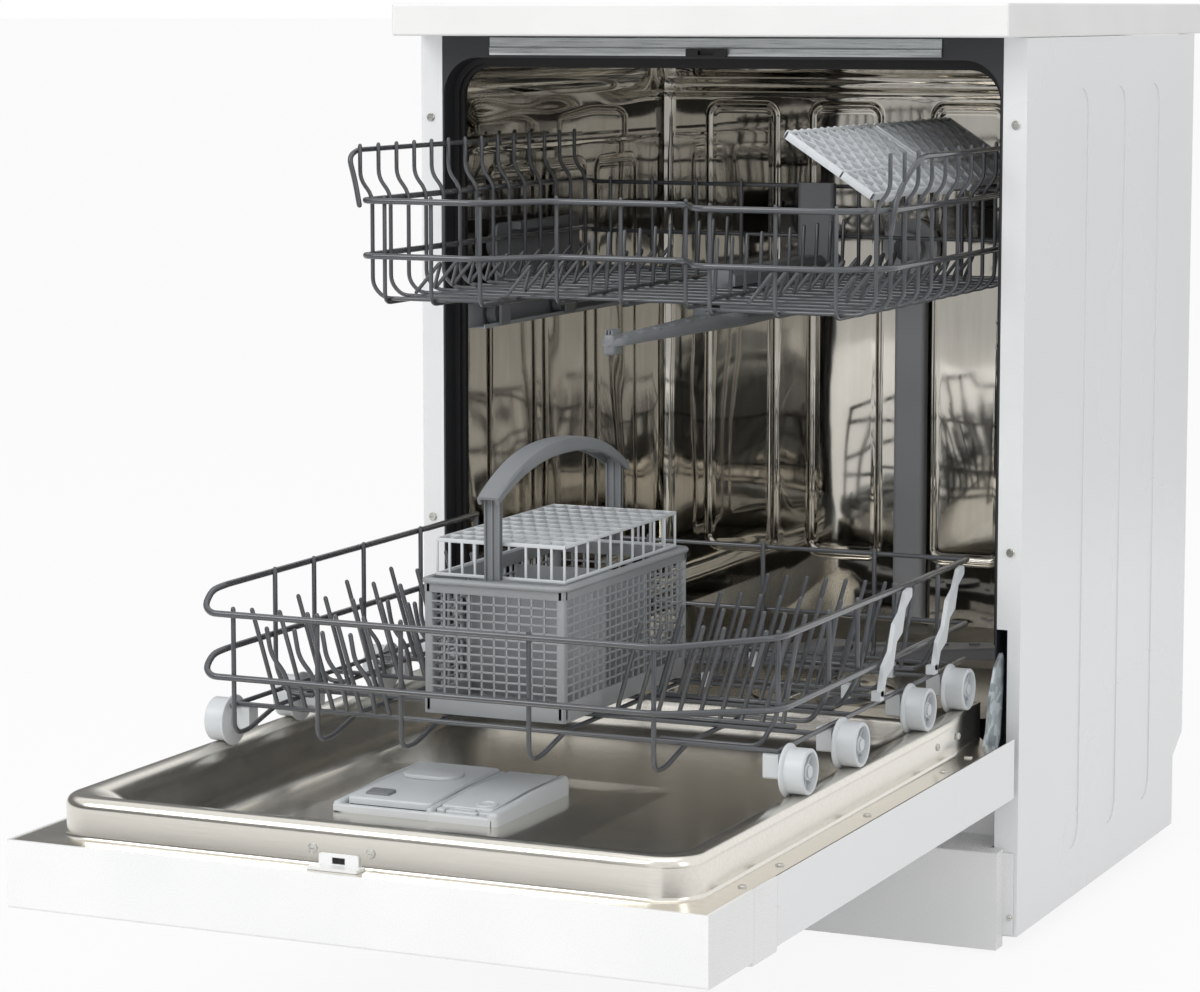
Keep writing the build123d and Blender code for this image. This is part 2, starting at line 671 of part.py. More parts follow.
def make_lower_frame():
    wires = []
    diagonal = rack_half - 77
    corner_y = -446.0
    for front_z, left_z, right_z in ((rack_front_rim, rack_left_rim, rack_right_rim),
                                     (rack_middle, rack_middle + 18, rack_middle)):
        left_x = -rack_half
        points = ((left_x, rack_rear, left_z), (left_x, rack_front + 32, left_z),
                  (left_x - 5, rack_front + 18, left_z - 3), (left_x - 5, rack_front + 7, front_z + 5),
                  (left_x + 4, rack_front, front_z), (diagonal, rack_front, front_z),
                  (rack_half, corner_y, right_z), (rack_half, rack_rear, right_z))
        wires.append(bent(points, wire_thick, 5))
        rear_y = rack_rear + 4.6
        wires.append(rod((left_x, rear_y, right_z), (rack_half, rear_y, right_z), wire_thin))
        wires.append(rod((left_x, rack_rear, left_z - 1), (left_x, rack_rear, rack_grid), wire_thin))
    wires.append(rod((left_x, rack_rear, rack_grid), (left_x, rack_front + 40, rack_grid), wire_thin))
    wires.append(rod((rack_half, rack_rear, rack_grid), (rack_half, corner_y - 4, rack_grid), wire_thin))
    for x in (-rack_half + 23, -143.0, -66.0, 49.0, rack_half - 87):
        front_y = rack_front + 4.7
        points = ((x, front_y, rack_front_rim + 4), (x, front_y, rack_low + 6), (x, front_y + 8, rack_low),
                  (x, front_y + 24, rack_low), (x, front_y + 70, rack_grid - 4.2),
                  (x, rack_rear, rack_grid - 4.2), (x, rack_rear, rack_right_rim + 4))
        wires.append(kinked(points, wire_thin))
    for y in (-394.0, -325.0, -233.0, -121.5):
        points = ((left_x + 4.7, y, rack_left_rim + 3), (left_x + 4.7, y, rack_grid + 22),
                  (left_x + 16, y, rack_grid), (left_x + 40, y, rack_grid))
        wires.append(kinked(points, wire_thin))
    for y in (-440.0, -327.0, -260.0, -170.0, -57.0):
        points = ((rack_half - 4.7, y, rack_right_rim + 3), (rack_half - 4.7, y, rack_grid + 26),
                  (rack_half - 20, y, rack_grid), (rack_half - 105, y, rack_grid))
        wires.append(kinked(points, wire_thin))
    for y in (-452.0, -372.0, -284.0, -200.0, -90.0, -24.0):
        wires.append(rod((-rack_half, y, rack_grid), (rack_half, y, rack_grid), wire_thin))
    return joined(wires)


def tine(base_x, base_y, base_z, top_x, top_z):
    return rod((base_x, base_y, base_z), (top_x, base_y, top_z), wire_thin - 0.1)


def make_left_tines():
    tines = []
    pitch = 26.5
    first = -rack_half + 39
    count = int((basket_left - 20 - first) / pitch) + 1
    for y in (-452.0, -372.0, -284.0, -200.0, -90.0):
        for index in range(count):
            x = first + pitch * index
            tines.append(tine(x, y, rack_grid + wire_thin + 0.6, x - 24, 343))
            points = ((x + 13, y, rack_grid + wire_thin + 0.4), (x + 8, y, rack_grid + 28),
                      (x - 6, y, rack_grid + 44), (x - 10, y, rack_grid + 66))
            if index < 4 and y in (-452.0, -284.0, -90.0):
                tines.append(kinked(points, wire_thin - 0.1))
    return joined(tines)


def make_tine_row(y, bar_low):
    tines = [rod((tine_first - 4, y, bar_low), (rack_half - 17, y, bar_low), wire_thin)]
    for index in range(tine_count):
        x = tine_first + tine_pitch * index
        tines.append(tine(x, y, bar_low, min(x + 22, rack_half - 15), 342))
    return joined(tines)


def make_right_tines():
    return joined([make_tine_row(y, rack_grid + 4.2) for y in (-372.0, -284.0)])


def make_wheel(side, y):
    profile = Polyline((axle_radius + 0.06, -8), (wheel_flange, -8), (wheel_flange, -5.6),
                       (wheel_tread, -4.2), (wheel_tread, 12), (16, 12), (16, 0), (7, 0), (7, 9),
                       (axle_radius + 0.06, 9), close=True)
    body = revolve(Plane.XZ * make_face(profile), Axis.Z)
    for index in range(6):
        body += Rot(0, 0, 60 * index) * Pos(11.5, 0, 3.8) * Box(9.6, 1.6, 7.6)
    return Pos(side * (ledge_edge + 1.9), y, axle_height) * Rot(0, side * 90, 0) * body


def axle_run(side, y, near, far, radius):
    start = (side * (rack_half + near), y, axle_height)
    end = (side * (rack_half + far), y, axle_height)
    return rod(start, end, radius)


def make_wheel_brackets():
    brackets = []
    high = rack_grid - wire_thin - 0.02
    for side in (-1, 1):
        for y in wheel_rows:
            axle = axle_run(side, y, -9, 25, axle_radius)
            clip = sided(side, rack_half - 12, rack_half + 1, y - 7.5, y + 7.5, axle_height - 7, high)
            clip = chamfer(clip.edges().filter_by(Axis.X), 1.5)
            collar = axle_run(side, y, -1, 5.4, 6.5)
            cap = axle_run(side, y, 23.4, 25.6, 5)
            brackets.append(fused([axle, clip, collar, cap]))
    return joined(brackets)


def make_rack_clips():
    clips = []
    for clip_y in (-196.0, -58.0):
        outline = FilletPolyline((-34, -44), (-26, -28), (-10, -22), (-2, -2), (12, 4), (20, 24), (36, 32),
                                 (36, 40), (22, 38), (10, 22), (-6, 14), (-16, -8), (-32, -18), (-42, -42),
                                 radius=2.5, close=True)
        plate = extrude(Plane.YZ * make_face(outline), 4)
        clips.append(Pos(rack_half + 4.2, clip_y, 312) * plate)
        clips.append(Pos(rack_half + 4.2, clip_y - 38, 269.5) * Box(8, 9, 8))
    for row_y in (fold_row_front, fold_row_rear):
        for clip_x in (tine_first + 9, tine_first + 9.2 + tine_pitch * (tine_count - 2)):
            holder = block(clip_x - 3.5, clip_x + 3.5, row_y - 4.5, row_y + 4.5, 259, fold_height + 4.6)
            for z, radius in ((fold_height, wire_thin + 0.08), (rack_grid, wire_thin)):
                holder -= rod((clip_x - 5, row_y, z), (clip_x + 5, row_y, z), radius)
            clips.append(holder)
    return joined(clips)


def basket_wall(length, height, thick, columns, rows, low_band, high_band, post):
    wall = Pos(0, 0, height / 2) * Box(length, thick, height)
    cell_x = (length - 2 * post) / columns
    cell_z = (height - low_band - high_band) / rows
    holes = []
    for column in range(columns):
        for row in range(rows):
            x = -length / 2 + post + cell_x * (column + 0.5)
            z = low_band + cell_z * (row + 0.5)
            holes.append(Pos(x, 0, z) * Box(cell_x - 2.2, thick + 2, cell_z - 2.2))
    return wall.cut(*holes)


def make_cutlery_basket():
    width = basket_right - basket_left
    depth = basket_rear - basket_front
    height = basket_rim - basket_bottom
    centre_x = (basket_left + basket_right) / 2
    centre_y = (basket_front + basket_rear) / 2
    long_wall = basket_wall(depth, height, 2.4, 9, 4, 16, 8, 8)
    short_wall = basket_wall(width, height, 2.4, 4, 4, 16, 14, 8)
    parts = []
    for side in (-1, 1):
        parts.append(Pos(centre_x + side * (width / 2 - 1.2), centre_y, basket_bottom) * Rot(0, 0, 90)
                     * long_wall)
        parts.append(Pos(centre_x, centre_y + side * (depth / 2 - 1.2), basket_bottom) * short_wall)
    floor = Pos(centre_x, centre_y, basket_bottom + 1.2) * Box(width, depth, 2.4)
    slots = []
    for column in range(3):
        for row in range(6):
            slots.append(Pos(centre_x - 40 + 40 * column, centre_y - 100 + 40 * row, basket_bottom)
                         * Box(32, 30, 10))
    parts.append(floor.cut(*slots))
    for divider_y in (-355.0, -270.0):
        parts.append(block(basket_left + 1, basket_right - 1, divider_y - 1, divider_y + 1,
                           basket_bottom, basket_rim - 12))
    rim = block(basket_left - 4, basket_right + 4, basket_front - 4, basket_rear + 4, basket_rim - 5,
                basket_rim)
    rim = fillet(rim.edges().filter_by(Axis.Z), 9)
    rim -= block(basket_left + 2.2, basket_right - 2.2, basket_front + 2.2, basket_rear - 2.2, 300, 400)
    parts.append(rim)
    return fused(parts)


def make_cutlery_handle():
    x = (basket_left + basket_right) / 2 - 3
    front = basket_front + 6
    rear = basket_rear - 6
    middle = (front + rear) / 2
    arch = ThreePointArc((front - 12, 458), (middle, handle_top - 7), (rear + 12, 458))
    low = Line((front - 12, 458), (front + 2, 438))
    parts = []
    spine = [Plane.YZ * arch]
    outline = Spline((front - 24, 446), (front + 26, 474), (middle, handle_top), (rear - 26, 474),
                     (rear + 24, 446))
    under = Spline((rear + 10, 440), (rear - 34, 462), (middle, handle_top - 13), (front + 34, 462),
                   (front - 10, 440))
    first = Line(outline @ 1, under @ 0)
    last = Line(under @ 1, outline @ 0)
    bow = make_face([outline, first, under, last])
    parts.append(Pos(x - 11, 0, 0) * extrude(Plane.YZ * bow, 22))
    for leg_y in (front, rear):
        leg = Polyline((x - 7, basket_rim + 0.4), (x + 7, basket_rim + 0.4), (x + 5.5, 452), (x - 5.5, 452),
                       close=True)
        parts.append(Pos(0, leg_y + 1.5, 0) * extrude(Plane.XZ * make_face(leg), 3))
    return fused(parts)


def make_cutlery_lid():
    x0 = basket_left + 5
    x1 = basket_right - 5
    y0 = basket_front + 12
    y1 = basket_rear - 12
    low = basket_rim + 0.4
    high = basket_rim + lid_height
    plate = block(x0, x1, y0, y1, high - 3.4, high)
    holes = []
    columns = 5
    rows = 10
    cell_x = (x1 - x0 - 2) / columns
    cell_y = (y1 - y0 - 2) / rows
    for column in range(columns):
        for row in range(rows):
            holes.append(Pos(x0 + 1 + cell_x * (column + 0.5), y0 + 1 + cell_y * (row + 0.5), high)
                         * Box(cell_x - 2.4, cell_y - 2.4, 20))
    parts = [plate.cut(*holes)]
    for x in (x0 + 1, x1 - 1):
        for row in range(rows + 1):
            parts.append(block(x - 1, x + 1, y0 + cell_y * row, y0 + cell_y * row + 2, low, high - 1))
        parts.append(block(x - 1, x + 1, y0, y1, low, low + 2.4))
    for y in (y0 + 1, y1 - 1):
        for column in range(1, columns):
            if column not in (2, 3):
                x = x0 + cell_x * column
                parts.append(block(x, x + 2, y - 1, y + 1, low, high - 1))
        parts.append(block(x0, x1, y - 1, y + 1, low, low + 2.4))
    return fused(parts)


# upper rack

def make_upper_frame():
    wires = []
    for z in (front_rail_high, front_rail_low):
        half = top_rack_lower_half + 4.7
        points = ((-half, top_rack_rear, z), (-half, top_rack_front, z), (-125, top_rack_front, z),
                  (-84, top_rack_setback, z), (48, top_rack_setback, z), (78, top_rack_front, z),
                  (half - 42.7, top_rack_front, z), (half, top_rack_front + 36, z), (half, top_rack_rear, z))
        wires.append(bent(points, wire_thick, 6))
        wires.append(rod((-half, top_rack_rear + 4.6, z - 4), (half, top_rack_rear + 4.6, z - 4), wire_thin))
    for side in (-1, 1):
        start = top_rack_front if side < 0 else top_rack_front + 34
        x = side * (top_rack_half + 4.6)
        points = ((x - side * 11, start - 2, front_rail_high - 4), (x - side * 5, start + 2, top_rim - 28),
                  (x, start, top_rim - 6), (x, start + 14, top_rim), (x, top_rack_rear, top_rim))
        wires.append(bent(points, wire_thin + 0.3, 4))
    count = 14
    for index in range(count):
        y = top_rack_front + 12 + top_rack_pitch * index
        sides = []
        for side in (-1, 1):
            sides.append(((side * top_rack_half, y, top_rim + 4), (side * top_rack_half, y, top_rim - 26),
                          (side * top_rack_lower_half, y, top_rim - 40),
                          (side * top_rack_lower_half, y, top_rack_bottom + 11),
                          (side * (top_rack_lower_half - 11), y, top_rack_bottom)))
        if y < top_rack_setback + 4:
            wires.append(kinked(sides[0] + ((-130, y, top_rack_bottom),), wire_thin - 0.2))
            wires.append(kinked(sides[1] + ((84, y, top_rack_bottom),), wire_thin - 0.2))
        else:
            wires.append(kinked(sides[0] + tuple(reversed(sides[1])), wire_thin - 0.2))
    left = -top_rack_lower_half + 16
    right = top_rack_lower_half - 33
    for x in (left, -176.0, -128.0, -80.0, -18.0, 44.0, 90.0, 150.0, right):
        front_y = top_rack_front
        if -100 < x < 60:
            front_y = top_rack_setback
        points = ((x, front_y + 4.6, front_rail_high + 3), (x, front_y + 4.6, top_rack_bottom - 3.7),
                  (x, top_rack_rear, top_rack_bottom - 3.7), (x, top_rack_rear, front_rail_high))
        wires.append(kinked(points, wire_thin - 0.2))
    return joined(wires)


def make_upper_tines():
    tines = []
    for x in (-60.0, 60.0):
        for index in range(10):
            y = -140.0 + top_rack_pitch * index
            tines.append(rod((x, y, top_rack_bottom + 1.5), (x, y + 6, top_rack_bottom + 55),
                             wire_thin - 0.3))
        tines.append(rod((x, -146, top_rack_bottom + 3.4), (x, 182, top_rack_bottom + 3.4), wire_thin - 0.3))
    for x in (-top_rack_lower_half + 38, -110.0, 120.0, top_rack_lower_half - 42):
        points = []
        for index in range(21):
            y = -190.0 + top_rack_pitch / 2 * index
            points.append((x + (8 if index % 2 else -8), y, top_rack_bottom + (31 if index % 2 else 4)))
        tines.append(kinked(points, wire_thin - 0.4))
    return joined(tines)


def make_upper_hub():
    low = top_rack_bottom + 2.5
    base = Pos(arm_centre_x, arm_centre_y, top_rack_bottom - 8.5) * Cylinder(20, 6)
    riser_y = top_rack_rear - 25
    duct = block(arm_centre_x - 14, arm_centre_x + 14, arm_centre_y, riser_y + 4, low, low + 14.5)
    duct = chamfer(duct.edges().filter_by(Axis.Y).group_by(Axis.Z)[-1], 5)
    neck = Pos(arm_centre_x, arm_centre_y, top_rack_bottom - 1) * Cylinder(11, 14)
    riser = round_slab(arm_centre_x - 17, arm_centre_x + 21, riser_y + 2.2, riser_y + 14, low,
                       front_rail_high, 5)
    mouth = Pos(9, riser_y + 25, top_rack_bottom + 8) * Rot(90, 0, 0) * Cylinder(12, 30)
    return fused([base, neck, duct, riser, mouth])


def make_adjusters():
    parts = []
    for side in (-1, 1):
        near = top_rack_half + 2.2
        far = top_rack_half + 4.8
        low = top_rack_bottom - 14
        high = top_rack_bottom + 51
        plate = sided(side, near, far, 66, 256, low, high)
        plate = fillet(plate.edges().filter_by(Axis.X), 8)
        plate += sided(side, near, far, 76, 96, low - 33, low + 5)
        plate += sided(side, near, far, 226, 246, low - 33, low + 5)
        plate += sided(side, top_rack_half - 7, top_rack_half + 3, 100, 222, high - 7.5, high)
        for y in roller_rows:
            for z in (roller_height, roller_height + roller_rise):
                plate += rod((side * (top_rack_half + 3), y, z), (side * (top_rack_half + 19.5), y, z), 3)
        parts.append(plate)
    return joined(parts)


def make_rollers():
    rollers = []
    profile = Polyline((3.05, 0), (roller_radius, 0), (roller_radius, 9), (9, 9), (9, 3), (5.5, 3), (5.5, 8),
                       (3.05, 8), close=True)
    roller = revolve(Plane.XZ * make_face(profile), Axis.Z)
    for side in (-1, 1):
        for y in roller_rows:
            for z in (roller_height, roller_height + roller_rise):
                rollers.append(Pos(side * (top_rack_half + 9.2), y, z) * Rot(0, side * 90, 0) * roller)
    return joined(rollers)


def make_cup_shelf(start):
    edge = 3.0
    depth = shelf_depth
    length = shelf_length
    plan = Pos(-depth / 2, 0) * Rectangle(depth, length)
    hole = Pos(-depth / 2, 0) * Rectangle(depth - 2 * edge, length - 2 * edge)
    frame = extrude(plan, 7) - extrude(hole, 7)
    inside = extrude(Pos(-depth / 2, 0) * Rectangle(depth - 1, length - 1), 5.4)
    ribs = []
    step = 32.0
    count = int((length + depth) / step) + 1
    for index in range(-count // 2, count // 2 + 1):
        for turn in (-1, 1):
            ribs.append(Pos(-depth / 2, index * step, 2.6) * Rot(0, 0, turn * 45) * Box(190, 1.6, 4.8))
    lattice = fused(ribs) & inside
    shelf = frame + lattice
    for knuckle_y in (-70.0, 70.0):
        shelf += Pos(1.5, knuckle_y, 3.5) * Box(7, 18, 7)
    shelf = Pos(0, start + length / 2, 0) * shelf
    return Pos(shelf_hinge_x - 2, 0, shelf_hinge_z) * Rot(0, shelf_tilt, 0) * shelf


save(make_worktop(), "worktop")
side_panel = make_side_panel()
save(side_panel, "side_panel_right")
save(mirrored(side_panel), "side_panel_left")
save(make_back_panel(), "back_panel")
save(make_base_tray(), "base_tray")
save(make_feet(), "leveling_feet")
save(make_plinth(), "plinth")
save(make_front_frame(), "front_frame")
save(make_top_trim(), "top_trim")
save(make_latch(), "door_latch")
save(make_gasket(), "tub_gasket")
save(make_tub_wrap(), "tub_wrap")
save(make_tub_back(), "tub_back")
save(make_tub_floor(), "tub_floor")
save(make_rails(), "upper_rails")
save(make_feed_pipe(), "feed_pipe")
save(make_sump(), "sump")
save(make_filter_plate(), "filter_plate")
save(make_filter(), "filter_cup")
save(make_salt_cap(), "salt_cap")
save(make_lower_arm(), "lower_spray_arm")
save(make_pumps(), "pumps")
save(joined([make_inlet_spigot(), make_drain_spigot()]), "hose_spigots")
save(make_case_screws(), "case_screws")
save(make_door_panel(), "door_panel")
save(make_fascia(), "control_fascia")
save(make_strip(), "fascia_strip")
save(make_button(-button_spread), "power_button")
save(make_button(button_spread), "start_button")
save(make_liner(), "door_liner")
save(make_strike(), "door_strike")
save(make_door_screws(), "door_screws")
save(make_dispenser_body(), "dispenser_body")
save(make_dispenser_lid(), "dispenser_lid")
save(make_rinse_cap(), "rinse_cap")
save(make_hinge_arms(), "hinge_arms")
save(make_lower_frame(), "lower_rack_frame")
save(joined([make_left_tines(), make_right_tines()]), "fixed_tines")
save(make_tine_row(fold_row_front, fold_height), "tine_row_front")
save(make_tine_row(fold_row_rear, fold_height), "tine_row_rear")
save(make_wheel_brackets(), "wheel_brackets")
save(make_rack_clips(), "rack_clips")
for number, wheel_y in enumerate(wheel_rows):
    save(make_wheel(-1, wheel_y), "wheel_left_" + str(number + 1))
    save(make_wheel(1, wheel_y), "wheel_right_" + str(number + 1))
save(make_cutlery_basket(), "cutlery_basket")
save(make_cutlery_handle(), "cutlery_handle")
save(make_cutlery_lid(), "cutlery_lid")
save(joined([make_upper_frame(), make_upper_tines()]), "upper_rack_frame")
save(make_upper_hub(), "upper_feed")
save(make_adjusters(), "rack_adjusters")
save(make_rollers(), "rack_rollers")
save(make_cup_shelf(-196.0), "cup_shelf_front")
save(make_cup_shelf(20.0), "cup_shelf_rear")
save(make_upper_arm(), "upper_spray_arm")
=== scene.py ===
import bpy
import json
import math
import numpy as np
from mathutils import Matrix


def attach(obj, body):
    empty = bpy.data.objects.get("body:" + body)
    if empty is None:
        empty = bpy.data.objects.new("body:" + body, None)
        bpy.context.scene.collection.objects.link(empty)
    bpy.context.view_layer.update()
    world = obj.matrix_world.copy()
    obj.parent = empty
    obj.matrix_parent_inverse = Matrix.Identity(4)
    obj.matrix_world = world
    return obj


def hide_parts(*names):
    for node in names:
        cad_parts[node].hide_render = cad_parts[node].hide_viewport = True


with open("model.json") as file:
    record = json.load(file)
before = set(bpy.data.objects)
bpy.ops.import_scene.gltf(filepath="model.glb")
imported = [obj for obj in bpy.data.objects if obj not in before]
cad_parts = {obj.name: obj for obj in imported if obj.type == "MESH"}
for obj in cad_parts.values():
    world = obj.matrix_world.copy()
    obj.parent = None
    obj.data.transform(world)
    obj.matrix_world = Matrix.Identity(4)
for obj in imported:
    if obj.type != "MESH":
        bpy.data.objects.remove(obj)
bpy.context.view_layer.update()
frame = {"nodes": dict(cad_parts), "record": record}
print("frame loaded")


# shapes are written in the maker's millimetres, with the tub's mouth at y = 0

def toMetres(points):
    return (np.asarray(points, float) + np.array([0.0, 77.0, 0.0])) * 0.001


def gridFaces(rows, columns, closeRows=False, closeColumns=False):
    # four-sided faces that join point (i, j) to (i, j + 1), (i + 1, j + 1) and (i + 1, j)
    index = np.arange(rows * columns).reshape(rows, columns)
    if closeRows:
        index = np.vstack([index, index[:1]])
    if closeColumns:
        index = np.hstack([index, index[:, :1]])
    corners = [index[:-1, :-1], index[:-1, 1:], index[1:, 1:], index[1:, :-1]]
    return np.stack(corners, -1).reshape(-1, 4).tolist()


def capped(levels):
    # a stack of closed loops of points, walled from one to the next and closed at both ends
    levels = np.asarray(levels, float)
    rows, count = levels.shape[:2]
    faces = gridFaces(rows, count, closeColumns=True)
    faces.append(list(range(count))[::-1])
    faces.append([(rows - 1) * count + i for i in range(count)])
    return levels.reshape(-1, 3), faces


def atHeight(loop, z):
    # an (x, y) loop as (x, y, z) points
    return np.column_stack([loop, np.full(len(loop), z)])


def pile(parts):
    # several (points, faces) pairs as one pair
    points = []
    faces = []
    count = 0
    for partPoints, partFaces in parts:
        points.append(np.asarray(partPoints, float).reshape(-1, 3))
        faces += [[corner + count for corner in face] for face in partFaces]
        count += len(points[-1])
    return np.vstack(points), faces


def addPiece(name, parts, slotName, body, stands=(), smooth=40.0, finish=None):
    # puts worked-out points and faces into a mesh, hangs it on its body and lets it stand for its CAD nodes
    points, faces = pile(parts)
    mesh = bpy.data.meshes.new(name)
    mesh.from_pydata(toMetres(points).tolist(), [], faces)
    mesh.materials.append(finishes[finish or slotName])
    mesh.polygons.foreach_set("use_smooth", np.ones(len(mesh.polygons), bool))
    mesh.set_sharp_from_angle(angle=math.radians(smooth))
    mesh.update()
    piece = bpy.data.objects.new(name, mesh)
    bpy.context.scene.collection.objects.link(piece)
    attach(piece, body)
    if stands:
        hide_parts(*stands)


def unit(vectors):
    return vectors / np.maximum(np.linalg.norm(vectors, axis=-1, keepdims=True), 1e-9)


def roundPath(corners, bend, steps=5):
    # each corner C becomes the parabola (1 - t)^2 A + 2 t (1 - t) C + t^2 B, with A and B on its two runs
    p = np.array(corners, float)
    into = p[1:-1] - p[:-2]
    out = p[2:] - p[1:-1]
    lengthIn = np.linalg.norm(into, axis=1, keepdims=True)
    lengthOut = np.linalg.norm(out, axis=1, keepdims=True)
    reach = np.minimum(bend, 0.46 * np.minimum(lengthIn, lengthOut))
    a = (p[1:-1] - into / lengthIn * reach)[:, None]
    b = (p[1:-1] + out / lengthOut * reach)[:, None]
    c = p[1:-1][:, None]
    t = np.linspace(0, 1, steps)[None, :, None]
    arcs = (1 - t) ** 2 * a + 2 * t * (1 - t) * c + t * t * b
    return np.vstack([p[:1], arcs.reshape(-1, 3), p[-1:]])


def wire(path, radius, sides=10):
    # P(s, w) = C(s) + r (cos w N + sin w B), a circle carried along the path, with domed ends
    path = np.asarray(path, float)
    steps = unit(np.diff(path, axis=0))
    tangent = unit(np.vstack([steps[:1], steps[:-1] + steps[1:], steps[-1:]]))
    flat = np.linalg.svd(path - path.mean(0))[2][2]
    side = unit(np.cross(tangent, flat))
    up = np.cross(side, tangent)
    swell = np.array([0.26, 0.7])
    slip = np.array([0.97, 0.7])
    centre = np.vstack([path[:1] - tangent[:1] * radius * slip[:, None], path,
                        path[-1:] + tangent[-1:] * radius * slip[::-1, None]])
    scale = np.concatenate([swell, np.ones(len(path)), swell[::-1]]) * radius
    side = np.vstack([side[:1], side[:1], side, side[-1:], side[-1:]])
    up = np.vstack([up[:1], up[:1], up, up[-1:], up[-1:]])
    turn = -np.linspace(0, 2 * np.pi, sides, endpoint=False)[None, :, None]
    ring = np.cos(turn) * side[:, None] + np.sin(turn) * up[:, None]
    return capped(centre[:, None] + scale[:, None, None] * ring)


def straight(start, end, radius, sides=10):
    return wire([start, end], radius, sides)


def loopOutline(x0, x1, y0, y1, frontRadius, rearRadius, steps=8, runs=6):
    # a rectangle in plan whose corners are quarter circles, walked once round, as (x, y) points
    turn = np.linspace(0, np.pi / 2, steps)
    parts = []
    rear = y1 - rearRadius
    front = y0 + frontRadius
    centres = ((x1 - rearRadius, rear, rearRadius), (x0 + rearRadius, rear, rearRadius),
               (x0 + frontRadius, front, frontRadius), (x1 - frontRadius, front, frontRadius))
    for quarter, (cx, cy, radius) in enumerate(centres):
        w = turn + quarter * np.pi / 2
        parts.append(np.stack([cx + radius * np.cos(w), cy + radius * np.sin(w)], -1))
    closed = parts + parts[:1]
    share = np.linspace(0, 1, runs + 1)[1:-1, None]
    loop = []
    for here, following in zip(closed[:-1], closed[1:]):
        loop.append(here)
        loop.append(here[-1] * (1 - share) + following[0] * share)
    return np.vstack(loop)


def bar(x0, x1, y0, y1, z0, z1, soft=0.6):
    # a moulded bar: levels of rounded rectangles, drawn in by (1 - cos w) and raised by sin w at both ends
    soft = min(soft, 0.45 * min(x1 - x0, y1 - y0, z1 - z0))
    w = np.linspace(0, np.pi / 2, 3)
    inset = np.concatenate([soft * (1 - np.sin(w)), soft * (1 - np.cos(w))])
    height = np.concatenate([z0 + soft * (1 - np.cos(w)), z1 - soft * (1 - np.sin(w))])
    levels = []
    for d, z in zip(inset, height):
        corner = max(soft - d, 0.01)
        levels.append(atHeight(loopOutline(x0 + d, x1 - d, y0 + d, y1 - d, corner, corner, 3, 1), z))
    return capped(levels)


def post(x, y, wide, deep, z0, z1, soft):
    # a bar about the point (x, y), by its half width and half depth
    return bar(x - wide, x + wide, y - deep, y + deep, z0, z1, soft)


def spun(profile, sides=40):
    # P(s, w) = (r(s) cos w, r(s) sin w, z(s)), a closed profile turned about the z axis
    r, z = np.array(profile, float).T
    w = np.linspace(0, 2 * np.pi, sides, endpoint=False)[None, :]
    points = np.stack([r[:, None] * np.cos(w), r[:, None] * np.sin(w), np.repeat(z[:, None], sides, 1)], -1)
    return points.reshape(-1, 3), gridFaces(len(r), sides, True, True)


def turned(part, matrix, move):
    # the same faces with their points turned by a 3 x 3 matrix and moved
    points, faces = part
    return np.asarray(points, float) @ np.array(matrix, float).T + np.array(move, float), faces


def moved(part, move):
    return turned(part, np.eye(3), move)


def about(axis, degrees):
    # the matrix of a turn about one of the three axes
    c = math.cos(math.radians(degrees))
    s = math.sin(math.radians(degrees))
    if axis == "x":
        return np.array([[1, 0, 0], [0, c, -s], [0, s, c]])
    if axis == "y":
        return np.array([[c, 0, s], [0, 1, 0], [-s, 0, c]])
    return np.array([[c, -s, 0], [s, c, 0], [0, 0, 1]])


def linearColour(hexText):
    # sRGB hex to linear: ((v + 0.055) / 1.055) ^ 2.4 above 0.04045, v / 12.92 below
    values = np.array([int(hexText[i:i + 2], 16) for i in (1, 3, 5)]) / 255.0
    curve = np.where(values > 0.04045, ((values + 0.055) / 1.055) ** 2.4, values / 12.92)
    return tuple(curve.tolist()) + (1.0,)


def addNode(tree, kind, settings=None, links=None):
    # a shader node with its settings, and the sockets that feed it
    node = tree.nodes.new("ShaderNode" + kind)
    for key, value in (settings or {}).items():
        if isinstance(key, str) and hasattr(node, key):
            setattr(node, key, value)
        else:
            node.inputs[key].default_value = value
    for key, source in (links or {}).items():
        tree.links.new(source, node.inputs[key])
    return node


def startMaterial(name, **shader):
    # a material whose node coordinates are metres on the object itself
    material = bpy.data.materials.new(name)
    material.use_nodes = True
    tree = material.node_tree
    tree.nodes.clear()
    surface = addNode(tree, "BsdfPrincipled", shader)
    addNode(tree, "OutputMaterial", None, {"Surface": surface.outputs[0]})
    place = addNode(tree, "TexCoord").outputs["Object"]
    return material, tree, surface, place


def dressSurface(tree, surface, tone, dark, light, stops, grain, roughness, bump=None):
    # the colour runs from dark to light along a tone, the roughness between two values along a grain
    colour = addNode(tree, "ValToRGB", None, {"Fac": tone})
    for stop, shade, share in zip(colour.color_ramp.elements, (dark, light), stops):
        stop.color = linearColour(shade)
        stop.position = share
    gloss = addNode(tree, "MapRange", {"From Min": stops[0], "From Max": stops[1], "To Min": roughness[0],
                                       "To Max": roughness[1]}, {"Value": grain})
    tree.links.new(colour.outputs[0], surface.inputs["Base Color"])
    tree.links.new(gloss.outputs[0], surface.inputs["Roughness"])
    if bump:
        tree.links.new(bump.outputs[0], surface.inputs["Normal"])


